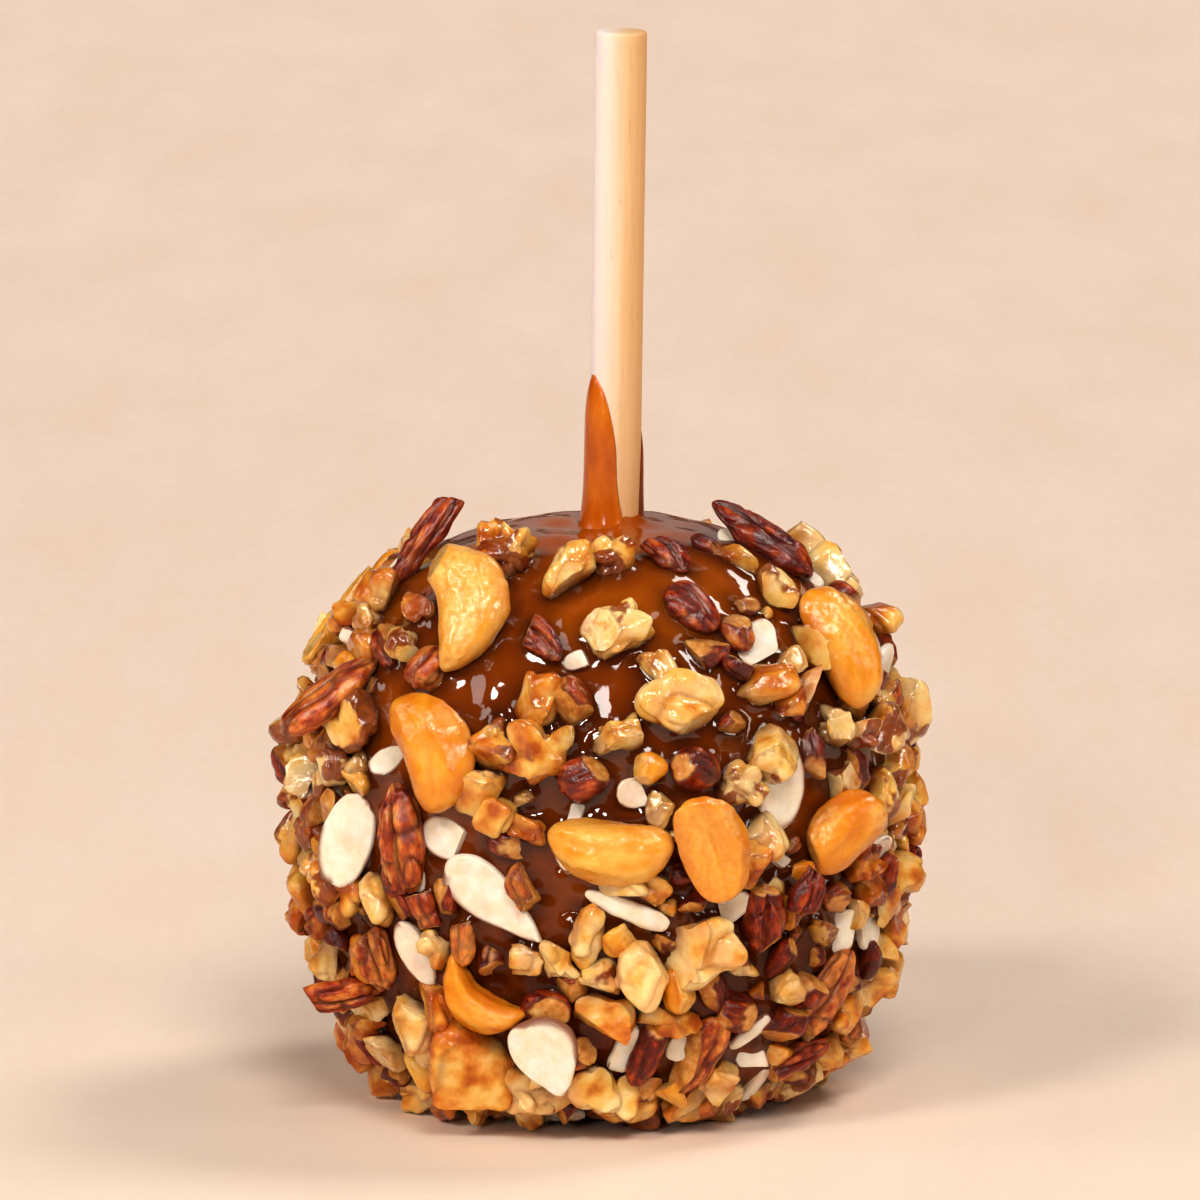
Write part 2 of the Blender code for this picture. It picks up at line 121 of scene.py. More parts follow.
def furrows(points, size, width, seed=0):
    """1 along meandering lines, as the furrows of a kernel, falling to 0 beside them."""
    return np.exp(-(noise(points, size, seed) / width) ** 2)


def smooth_step(low, high, value):
    share = np.clip((value - low) / (high - low), 0, 1)
    return share * share * (3 - 2 * share)


# ============================ the caramel's surface ==========================

def swell_at(points):
    """How much wider than a turned form the apple is at each point's bearing."""
    turn = np.arctan2(points[:, 1], points[:, 0])
    rise = np.maximum(points[:, 2], 0) / (WAIST_HEIGHT + CROWN_HEIGHT)
    return 1 + LOBE_DEPTH * rise * np.cos(LOBE_COUNT * turn) + SIDE_SWELL * np.cos(turn - SWELL_BEARING)


def above_coat(points):
    """Distance of points from the caramel's plain form, negative inside."""
    reach = np.hypot(points[:, 0], points[:, 1]) / swell_at(points) / WAIST_RADIUS
    upper = points[:, 2] > WAIST_HEIGHT
    depth = np.where(upper, CROWN_HEIGHT, BASE_DEPTH)
    power = np.where(upper, CROWN_POWER, BASE_POWER)
    drop = np.abs(points[:, 2] - WAIST_HEIGHT) / depth
    level = reach ** power + drop ** power - 1
    slope = power * np.hypot(reach ** (power - 1) / WAIST_RADIUS, drop ** (power - 1) / depth)
    return level / np.maximum(slope, 1.0)


def coat_slopes(points):
    """Outward directions of the plain form at points, not yet of unit length."""
    columns = []
    for axis in range(3):
        shift = np.zeros(3)
        shift[axis] = PROBE
        columns.append(above_coat(points + shift) - above_coat(points - shift))
    return np.stack(columns, axis=1)


def coat_normal(point):
    return Vector(coat_slopes(np.array([point]))[0]).normalized()


class Face:
    """A side of the apple seen from an azimuth and a little above: 0 is the front."""

    def __init__(self, azimuth):
        turn = Matrix.Rotation(azimuth, 3, "Z")
        self.right = turn @ Vector((1.0, 0.0, 0.0))
        self.upright = turn @ Vector((0.0, math.sin(FACE_TILT), math.cos(FACE_TILT)))
        self.ahead = self.right.cross(self.upright)

    def coat_point(self, across, up):
        """Where the caramel shows at a place on this face; beyond its outline, the nearest rim."""
        depths = np.linspace(SEARCH_FROM, SEARCH_TO, SEARCH_STEPS)
        base = np.array(self.right) * across + np.array(self.upright) * up
        ahead = np.array(self.ahead)
        values = above_coat(base + depths[:, None] * ahead)
        inside = np.nonzero(values < 0)[0]
        if len(inside) == 0:
            return Vector(base + depths[np.argmin(values)] * ahead)
        near, far = depths[inside[0] - 1], depths[inside[0]]
        for _ in range(SEARCH_HALVINGS):
            middle = (near + far) / 2
            if above_coat((base + middle * ahead)[None])[0] < 0:
                far = middle
            else:
                near = middle
        return Vector(base + near * ahead)


FRONT = Face(0.0)


def lay_axes(normal, face, spin, facing, lift):
    """Length, width and outward axes of a piece that lies on the caramel."""
    top = (normal * (1 - facing) + face.ahead * facing).normalized()
    along = face.right * math.cos(spin) + face.upright * math.sin(spin)
    along = (along - top * along.dot(top)).normalized()
    side = top.cross(along).normalized()
    along = Matrix.Rotation(-lift, 3, side) @ along
    return Matrix((along, side, along.cross(side))).transposed()


# ============================ pieces =========================================

def make_piece(name, points, faces, material):
    mesh = bpy.data.meshes.new(name)
    mesh.from_pydata(points.tolist(), [], faces)
    mesh.shade_smooth()
    mesh.materials.append(material)
    piece = bpy.data.objects.new(name, mesh)
    bpy.context.scene.collection.objects.link(piece)
    return piece


def add_layer(piece, name, values):
    """A number, or a vector, for each point, which materials read by its name."""
    values = np.asarray(values, np.float32)
    kind, key = ("FLOAT", "value") if values.ndim == 1 else ("FLOAT_VECTOR", "vector")
    piece.data.attributes.new(name, kind, "POINT").data.foreach_set(key, values.ravel())


def sphere_grid(subdivisions):
    """Directions to the corners of an icosphere, and its faces."""
    shape = bmesh.new()
    bmesh.ops.create_icosphere(shape, subdivisions=subdivisions, radius=1.0)
    points = np.array([vertex.co for vertex in shape.verts])
    faces = np.array([[vertex.index for vertex in face.verts] for face in shape.faces])
    shape.free()
    return points, faces


COARSE, FINE, FINEST = 3, 4, 5   # subdivisions of the sphere a nut is made from
SPHERES = {level: sphere_grid(level) for level in (COARSE, FINE, FINEST)}
GLAZE_SHADE_HEIGHT = 0.4 * MM         # over the caramel, up to where a nut is wholly coated in dark caramel and painted contact shade
GLAZE_SHADE_FADE = 1.5 * MM
SEED_SPREAD = 71.0              # how far apart in their patterns two nuts can be


class Bunch:
    """Many nuts of one kind, joined into a mesh with what their material reads."""

    def __init__(self, name, crisp):
        self.name = name
        self.crisp = crisp
        self.faces = []
        self.layers = {}
        self.size = 0

    def add(self, form, level, matrix, seed, tone):
        """A form's points in a nut's own frame, put in place."""
        place = np.array(matrix)
        points = form["points"] @ place[:3, :3].T + place[:3, 3]
        count = len(points)
        # Share of dark caramel and of painted contact shade, from each point's height over the caramel.
        glaze_and_shade = np.exp(-np.maximum(above_coat(points) - GLAZE_SHADE_HEIGHT, 0) / GLAZE_SHADE_FADE)
        values = {
            "points": points, "local": form["points"] / MM + seed * SEED_SPREAD,
            "cut": form["cut"], "furrow": form["furrow"], "glaze_and_shade": glaze_and_shade,
            "seed": np.full(count, seed), "tone": np.full(count, tone),
        }
        for layer, value in values.items():
            self.layers.setdefault(layer, []).append(value)
        self.faces.append(SPHERES[level][1] + self.size)
        self.size += count

    def build(self, material):
        layers = {layer: np.concatenate(values) for layer, values in self.layers.items()}
        points = layers.pop("points")
        piece = make_piece(self.name, points, np.concatenate(self.faces).tolist(), material)
        for layer, values in layers.items():
            add_layer(piece, layer, values)
        if self.crisp:
            piece.data.set_sharp_from_angle(angle=math.radians(self.crisp))
        return piece


# ============================ nut forms ======================================

BLUNTNESS = 2.8                 # 2 keeps the round ends of a sphere; more makes them blunter
CUT_SOFTNESS = 0.10 * MM        # rounding of the edge of a broken face
GRAIN = 1.0 * MM                # size of the roughness of a broken face


def blunt(along):
    """How much fuller than a sphere a kernel is, from end to end."""
    full = np.sqrt(np.maximum(0, 1 - np.abs(along) ** BLUNTNESS))
    return full / np.sqrt(np.maximum(1e-9, 1 - along ** 2))


def cut_flat(points, normal, offset, softness):
    """Trims points beyond a plane, with a soft edge, and returns the share of each on the cut."""
    normal = np.asarray(normal, float)
    normal = normal / np.linalg.norm(normal)
    depth = points @ normal - offset
    points += np.outer(-softness * np.logaddexp(0, -depth / softness) - depth, normal)
    return 1 / (1 + np.exp(-np.clip(depth / softness, -30, 30)))


def pushed(points, dirs, amount):
    """Points moved along their directions, each by its own amount."""
    return points + dirs * np.asarray(amount)[:, None]


CASHEW_ROUGHNESS = 0.36 * MM
SPLIT_ROUGHNESS = 0.55 * MM
CASHEW_LUMPS = 4.0 * MM
SEAM_DEPTH = 0.12 * MM
WRINKLE_DEPTH = 0.20 * MM
LINE_DEPTH = 0.08 * MM
SPLIT_TILT = (0.05, -0.25, 1.0)  # which way the flat face of a split cashew looks
SPLIT_HEIGHT = 0.22             # shares of the thickness
HOLLOW_DEPTH = 0.26
HOLLOW_RIDGE = 0.16
BREAK_PLACE = 0.82              # share of the way out at which an end is broken off


def cashew_form(dirs, size, draw, bend, taper, split, broken):
    """A bent kernel; a split one shows its hollow inner face, a broken one lacks its broken side."""
    length, width, thickness = size
    along, side, top = dirs.T
    girth = blunt(along) * (1 - taper * along)
    turn = np.arctan2(top, side)
    ridges = 1 + 0.05 * np.cos(3 * turn + draw.uniform(0, 6)) + 0.03 * np.cos(5 * turn + 2 * along)
    arc = bend * length * (0.5 - along ** 2)
    points = np.stack((
        length / 2 * along,
        width / 2 * side * girth * ridges + arc,
        thickness / 2 * top * girth * ridges,
    ), axis=1)
    seed = draw.randrange(999)
    roughness = SPLIT_ROUGHNESS if split else CASHEW_ROUGHNESS
    points = pushed(points, dirs, roughness * layered(points, CASHEW_LUMPS, seed))
    seam = np.exp(-((side + 0.2) / 0.10) ** 2) * (top > 0) * (1 - along ** 2)
    points[:, 2] -= seam * SEAM_DEPTH
    cut = np.zeros(len(points))
    if split:
        face_cut = cut_flat(points, SPLIT_TILT, SPLIT_HEIGHT * thickness, 1.6 * CUT_SOFTNESS)
        hollow = np.exp(-(side / 0.42) ** 2 - (along / 0.65) ** 2)
        ridge = np.exp(-((side + 0.1) / 0.12) ** 2) * (1 - along ** 2)
        points[:, 2] -= face_cut * (HOLLOW_DEPTH * hollow - HOLLOW_RIDGE * ridge) * thickness
        points[:, 2] += face_cut * 0.10 * MM * layered(points, 1.3 * GRAIN, seed + 5)
        cut = 0.3 * face_cut
    if broken is not None:
        normal = np.array(broken) / np.linalg.norm(broken)
        reach = np.linalg.norm(normal * size) / 2
        end_cut = cut_flat(points, normal, BREAK_PLACE * reach, 1.2 * CUT_SOFTNESS)
        points = pushed(points, dirs, end_cut * 0.10 * MM * layered(points, 0.9 * GRAIN, seed + 9))
        cut = np.maximum(cut, 0.8 * end_cut)
    patch = smooth_step(0.20, 0.60, noise(dirs * (0.8, 1, 1), 0.8, seed + 4)) * (top > 0)
    wrinkle = 1 - np.abs(noise(points, GRAIN, seed + 3)) * 2
    points = pushed(points, dirs, patch * WRINKLE_DEPTH * wrinkle)
    lines = np.sin(turn * 7 + 2.0 * noise(points, CASHEW_LUMPS, seed + 6)) * (1 - np.abs(along)) ** 0.5
    points = pushed(points, dirs, (1 - patch) * LINE_DEPTH * lines)
    rim = smooth_step(0.55, 1.0, np.hypot(side, 0.75 * along))
    furrow = np.maximum(seam * 0.25, 0.7 * rim)
    return {"points": points, "cut": np.maximum(cut, 0.6 * patch), "furrow": furrow}


PECAN_LINES = 1.9 * MM          # size and depth of its furrows
PECAN_LINE_DEPTH = 0.45 * MM
PECAN_STRETCH = (0.42, 1.0, 1.0)
PECAN_FINE_LINES = 1.2 * MM
PECAN_FINE_DEPTH = 0.14 * MM
PECAN_LUMPS = ((0.42 * MM, 3.4 * MM, 3), (0.16 * MM, 1.5 * MM, 2))
PECAN_FULL_DEPTH = 4.0 * MM     # thinner ones are less deeply marked
BROKEN_ROUGHNESS = 0.14 * MM


def pecan_form(dirs, size, draw, arch, ends, grooved, splits, wrinkled):
    """A wrinkled pecan half; ends and splits break parts of it away."""
    length, width, thickness = size
    along, side, top = dirs.T
    seed = draw.randrange(999)
    girth = blunt(along) * (1 - 0.12 * along) * (1 - 0.22 * along ** 4)
    points = np.stack((
        length / 2 * along,
        width / 2 * side * girth,
        thickness / 2 * top * girth,
    ), axis=1)
    lines = furrows(points * PECAN_STRETCH, PECAN_LINES, 0.15, seed)
    fine = furrows(points, PECAN_FINE_LINES, 0.16, seed + 1)
    outer = smooth_step(-0.5, 0.1, top)
    middle = side - 0.12 * np.sin(3 * along + seed) - 0.10
    groove = np.exp(-(middle / 0.13) ** 2) * smooth_step(0.0, 0.5, top) * (1 - along ** 4)
    push = sum(depth * noise(points, lump, seed + step) for depth, lump, step in PECAN_LUMPS)
    push = push - outer * wrinkled * (PECAN_LINE_DEPTH * lines + PECAN_FINE_DEPTH * fine)
    points = pushed(points, dirs, push * min(1.0, thickness / PECAN_FULL_DEPTH))
    points[:, 2] -= groove * grooved * thickness
    points[:, 2] -= arch * length * along ** 2
    cut = np.zeros(len(points))
    for sign, depth in zip((-1, 1), ends):
        if depth > 0:
            tilt = (sign, draw.uniform(-0.6, 0.6), draw.uniform(-0.2, 0.9))
            cut = np.maximum(cut, cut_flat(points, tilt, (0.5 - depth) * length * 0.9, CUT_SOFTNESS))
    for _ in range(splits):
        tilt = (draw.uniform(-0.5, 0.5), draw.uniform(-1, 1), draw.uniform(0.0, 1.0))
        cut = np.maximum(cut, cut_flat(points, tilt, draw.uniform(0.12, 0.38) * width, CUT_SOFTNESS))
    points = pushed(points, dirs, cut * BROKEN_ROUGHNESS * layered(points, GRAIN, seed + 7))
    # The furrow share darkens the pecan: its skin's own darker furrows, and painted shade in them.
    furrow = np.maximum(groove, np.maximum(lines, 0.6 * fine)) * (1 - cut)
    return {"points": points, "cut": cut, "furrow": furrow}


FOLD_SIZE = 0.95                # sizes on a unit sphere
FINE_FOLD_SIZE = 0.48
LOPSIDED = 0.16
BROKEN_AWAY = (0.42, 0.74)      # shares of the way out at which faces are broken


def walnut_form(dirs, size, draw, planes, lumps, square=None):
    """A knobbly kernel, with some faces broken away; a low square makes it a block."""
    length, width, thickness = size
    seed = draw.randrange(999)
    rounded = draw.uniform(0.58, 0.90)
    square = square or rounded
    points = np.sign(dirs) * np.abs(dirs) ** square * (length / 2, width / 2, thickness / 2)
    small = min(width, thickness)
    folds = noise(dirs, FOLD_SIZE, seed)
    fine = noise(dirs, FINE_FOLD_SIZE, seed + 1)
    lobes = np.sqrt(folds ** 2 + 0.004) + 0.36 * np.sqrt(fine ** 2 + 0.008)
    creases = np.exp(-(folds / 0.10) ** 2)
    lopsided = LOPSIDED * noise(dirs, 1.6, seed + 2)
    points = pushed(points, dirs, small * (lumps * (lobes - 0.45) + lopsided))
    cut = np.zeros(len(points))
    for _ in range(planes):
        normal = np.array([draw.uniform(-1, 1), draw.uniform(-1, 1), draw.uniform(-0.5, 1)])
        normal = normal / np.linalg.norm(normal)
        reach = np.linalg.norm(normal * (length, width, thickness)) / 2
        share = cut_flat(points, normal, reach * draw.uniform(*BROKEN_AWAY), 0.9 * CUT_SOFTNESS)
        cut = np.maximum(cut, share)
    points = pushed(points, dirs, (0.05 + 0.05 * cut) * MM * layered(points, 1.2 * GRAIN, seed + 4))
    return {"points": points, "cut": cut, "furrow": creases * (1 - cut)}


FLATS = (1, 1, 0.05)            # a slice's two faces share an outline
CHIPPED_AT = 0.36               # share of the width
SLICE_ROUGHNESS = 0.03 * MM


def slice_form(dirs, size, draw, taper, chip, skinned=None):
    """An almond slice: a thin slab with a pointed end and skin on some of its rim."""
    length, width, thickness = size
    along, side, top = dirs.T
    seed = draw.randrange(999)
    narrowing = 1 - taper * along - 0.8 * np.maximum(0, taper * along) ** 2
    outline = 1 + 0.07 * noise(dirs * FLATS, 0.6, seed) + 0.03 * noise(dirs * FLATS, 0.25, seed + 1)
    points = np.stack((
        length / 2 * along * outline,
        width / 2 * side * narrowing * outline,
        thickness * 1.6 * top,
    ), axis=1)
    cut_flat(points, (0, 0, 1), thickness / 2, 0.7 * CUT_SOFTNESS)
    cut_flat(points, (0, 0, -1), thickness / 2, 0.7 * CUT_SOFTNESS)
    if draw.random() < chip:
        bearing = draw.uniform(0, 2 * math.pi)
        normal = (math.cos(bearing), math.sin(bearing), 0.0)
        cut_flat(points, normal, CHIPPED_AT * width, CUT_SOFTNESS)
    points[:, 2] += draw.uniform(-0.5, 0.5) * MM * (points[:, 0] / length) ** 2 * 4
    points = pushed(points, dirs, SLICE_ROUGHNESS * layered(points, 0.9 * GRAIN, seed + 2))
    if skinned is None:
        wears_skin = noise(dirs, 0.9, seed + 3) > 0.1
    else:
        wears_skin = dirs @ np.asarray(skinned) > 0.3
    rim = smooth_step(0.80, 0.97, np.hypot(along, side)) * wears_skin
    return {"points": points, "cut": rim, "furrow": np.zeros(len(points))}


def sliver_form(dirs, size, draw, power=0.55):
    """A split almond sliver; a lower power makes it squarer."""
    seed = draw.randrange(999)
    squared = np.sign(dirs) * np.abs(dirs) ** power
    points = squared * (size[0] / 2, size[1] / 2, size[2] / 2)
    points[:, 1] *= 1 - 0.25 * dirs[:, 0]
    points = pushed(points, dirs, 0.09 * min(size[1:]) * layered(points, 2.2 * GRAIN, seed))
    skin = (noise(dirs * (0.3, 1, 1), 0.8, seed + 3) > 0.45) * 1.0
    return {"points": points, "cut": skin, "furrow": np.zeros(len(points))}


# ============================ the large nuts =================================

def read_nut(node):
    """A nut solid's placing matrix, its length, width and thickness, its bend and its taper."""
    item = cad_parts[node]
    points = np.array([vertex.co for vertex in item.data.vertices])
    middle = points.mean(axis=0)
    _, _, axes = np.linalg.svd(points - middle, full_matrices=False)
    along, side, top = axes
    out = middle - np.array([0.0, 0.0, WAIST_HEIGHT])
    if top @ out < 0:
        top = -top
    side = np.cross(top, along)
    local = (points - middle) @ np.stack((along, side, top), axis=1)
    ends = np.abs(local[:, 0]) > 0.9 * np.abs(local[:, 0]).max()
    waist = np.abs(local[:, 0]) < 0.3 * np.abs(local[:, 0]).max()
    if local[ends, 1].mean() > local[waist, 1].mean():
        along, side = -along, -side
        local[:, :2] *= -1
    low, high = local.min(axis=0), local.max(axis=0)
    size = high - low
    bend = (local[waist, 1].mean() - local[ends, 1].mean()) / size[0]
    far, near = local[:, 0] > 0.2 * high[0], local[:, 0] < 0.2 * low[0]
    spreads = np.ptp(local[far, 1]), np.ptp(local[near, 1])
    taper = 1.6 * (spreads[1] - spreads[0]) / (spreads[1] + spreads[0])
    size[1] = np.ptp(local[waist, 1])
    centre = middle + np.stack((along, side, top), axis=1) @ ((low + high) / 2)
    matrix = Matrix.Identity(4)
    for row in range(3):
        matrix[row][:] = (along[row], side[row], top[row], centre[row])
    return matrix, size, bend, taper


# Nuts whose look is given here; the others follow the seed.
SPLIT_CASHEWS = ("cashew_05", "cashew_10", "cashew_12")
# Broken ends and sides face these ways: to the right, up the face, ahead.
BROKEN_CASHEWS = {
    "cashew_01": (-0.8, 0.5, 0.2), "cashew_06": (-0.9, -0.35, 0.25), "cashew_08": (0.8, 0.6, 0.2),
    "cashew_11": (1.0, 0.2, 0.3),
}
CASHEW_TONES = {
    "cashew_01": 0.90, "cashew_02": 0.35, "cashew_03": 0.50, "cashew_04": 1.0, "cashew_05": 0.40,
    "cashew_06": 0.0, "cashew_07": 0.25,
}
PECAN_TONES = {
    "pecan_01": 0.45, "pecan_02": 0.20, "pecan_03": 0.75, "pecan_04": 0.60, "pecan_05": 0.70,
    "pecan_06": 0.40, "pecan_07": 0.35, "pecan_08": 0.45, "pecan_09": 0.30, "pecan_10": 0.20,
    "pecan_11": 0.80, "pecan_12": 0.25, "pecan_13": 0.45, "pecan_14": 0.95, "pecan_15": 0.90,
}
# How far the lower (or left) and the upper end of a half are broken away.
PECAN_ENDS = {
    "pecan_01": (0.0, 0.12), "pecan_02": (0.0, 0.0), "pecan_03": (0.0, 0.0), "pecan_04": (0.20, 0.0),
    "pecan_05": (0.0, 0.0), "pecan_06": (0.0, 0.0), "pecan_07": (0.0, 0.28), "pecan_08": (0.0, 0.32),
}
SPLIT_PECANS = ("pecan_11", "pecan_15")
SMOOTH_PECANS = ("pecan_03", "pecan_06", "pecan_11", "pecan_12")
# Slices with brown skin on the rim that faces this way: to the right, up the face.
SKINNED_SLICES = {"almond_02": (-0.6, -0.8), "almond_05": (0.4, 0.9)}
POINTED_SLICES = ("almond_02", "almond_05")     # at their lower ends
SLIVER_WIDTH = 3.6 * MM         # almonds narrower than this are slivers
MOST_TAPER = 0.5
BLOCKS = ("walnut_01",)
# Tone, and how little of it wears skin.
WALNUT_LOOKS = {
    "walnut_01": (0.66, 0.70), "walnut_02": (0.35, 1.0), "walnut_03": (0.35, 0.60),
    "walnut_04": (0.30, 0.45), "walnut_05": (0.25, 0.90), "walnut_06": (0.15, 1.0),
}
SHOWN_BEFORE = 10.0 * MM        # nuts in front of this depth are made finer


class LargeNut:
    """A nut solid of the model, and what the seed draws for it."""

    def __init__(self, node, kind, draw):
        self.node = node
        self.place, self.size, self.bend, self.taper = read_nut(node)
        self.axes = self.place.to_3x3()
        self.seed = draw.random()
        self.shown = self.place.translation.y < SHOWN_BEFORE
        self.level = FINEST if self.shown and kind != "almond" else FINE
        self.dirs = SPHERES[self.level][0]
        self.tone = draw.random()

    def own(self, right, up, ahead=0.0):
        """A direction on the front, in the nut's own axes."""
        direction = FRONT.right * right + FRONT.upright * up + FRONT.ahead * ahead
        return self.axes.transposed() @ direction


def cashew_nut(nut, draw):
    nut.tone = CASHEW_TONES.get(nut.node, nut.tone)
    broken = BROKEN_CASHEWS.get(nut.node)
    if broken is not None:
        broken = nut.own(*broken)
    size = nut.size * (1.0, 0.93, 1.0)
    split = nut.node in SPLIT_CASHEWS
    return cashew_form(nut.dirs, size, draw, 1.5 * nut.bend, nut.taper, split, broken)


def pecan_nut(nut, draw):
    nut.tone = PECAN_TONES.get(nut.node, draw.uniform(0.2, 0.8))
    ends = PECAN_ENDS.get(nut.node, (draw.choice((0, 0.15)), draw.choice((0, 0.2))))
    if nut.axes.col[0].dot(FRONT.upright + FRONT.right * 0.3) < 0:
        ends = ends[::-1]
    wrinkled = 0.45 if nut.node in SMOOTH_PECANS else 1.0
    splits = 1 if nut.node in SPLIT_PECANS else 0
    return pecan_form(nut.dirs, nut.size, draw, 0.02, ends, 0.2 * wrinkled, splits, wrinkled)


def almond_nut(nut, draw):
    if nut.size[1] < SLIVER_WIDTH:
        return sliver_form(nut.dirs, nut.size, draw, 0.7)
    skinned = SKINNED_SLICES.get(nut.node)
    if skinned is not None:
        skinned = nut.own(*skinned)
    taper = max(-MOST_TAPER, min(MOST_TAPER, 1.4 * nut.taper))
    if nut.node in POINTED_SLICES:
        taper = MOST_TAPER if nut.axes.col[0].dot(FRONT.upright) < 0 else -MOST_TAPER
    return slice_form(nut.dirs, nut.size, draw, taper, 0.0 if nut.shown else 0.3, skinned)


def walnut_nut(nut, draw):
    nut.tone, nut.seed = WALNUT_LOOKS.get(nut.node, (nut.tone, nut.seed))
    if nut.node in BLOCKS:
        return walnut_form(nut.dirs, nut.size * 0.94, draw, 3, 0.14, 0.42)
    return walnut_form(nut.dirs, nut.size * 1.06, draw, 1, 0.42)


LARGE_FORMS = {"cashew": cashew_nut, "pecan": pecan_nut, "almond": almond_nut, "walnut": walnut_nut}


def add_large_nuts(bunches, draw, taken):
    """Makes the model's nuts anew in detail, and returns the nodes that each kind replaces."""
    replaced = {kind: [] for kind in bunches}
    for node in sorted(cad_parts):
        kind = node.split("_")[0]
        if kind not in bunches:
            continue
        nut = LargeNut(node, kind, draw)
        form = LARGE_FORMS[kind](nut, draw)
        bunches[kind].add(form, nut.level, nut.place, nut.seed, nut.tone)
        replaced[kind].append(node)
        taken.add(nut.place, nut.size * SLICE_ROOM if kind == "almond" else nut.size)
    return replaced
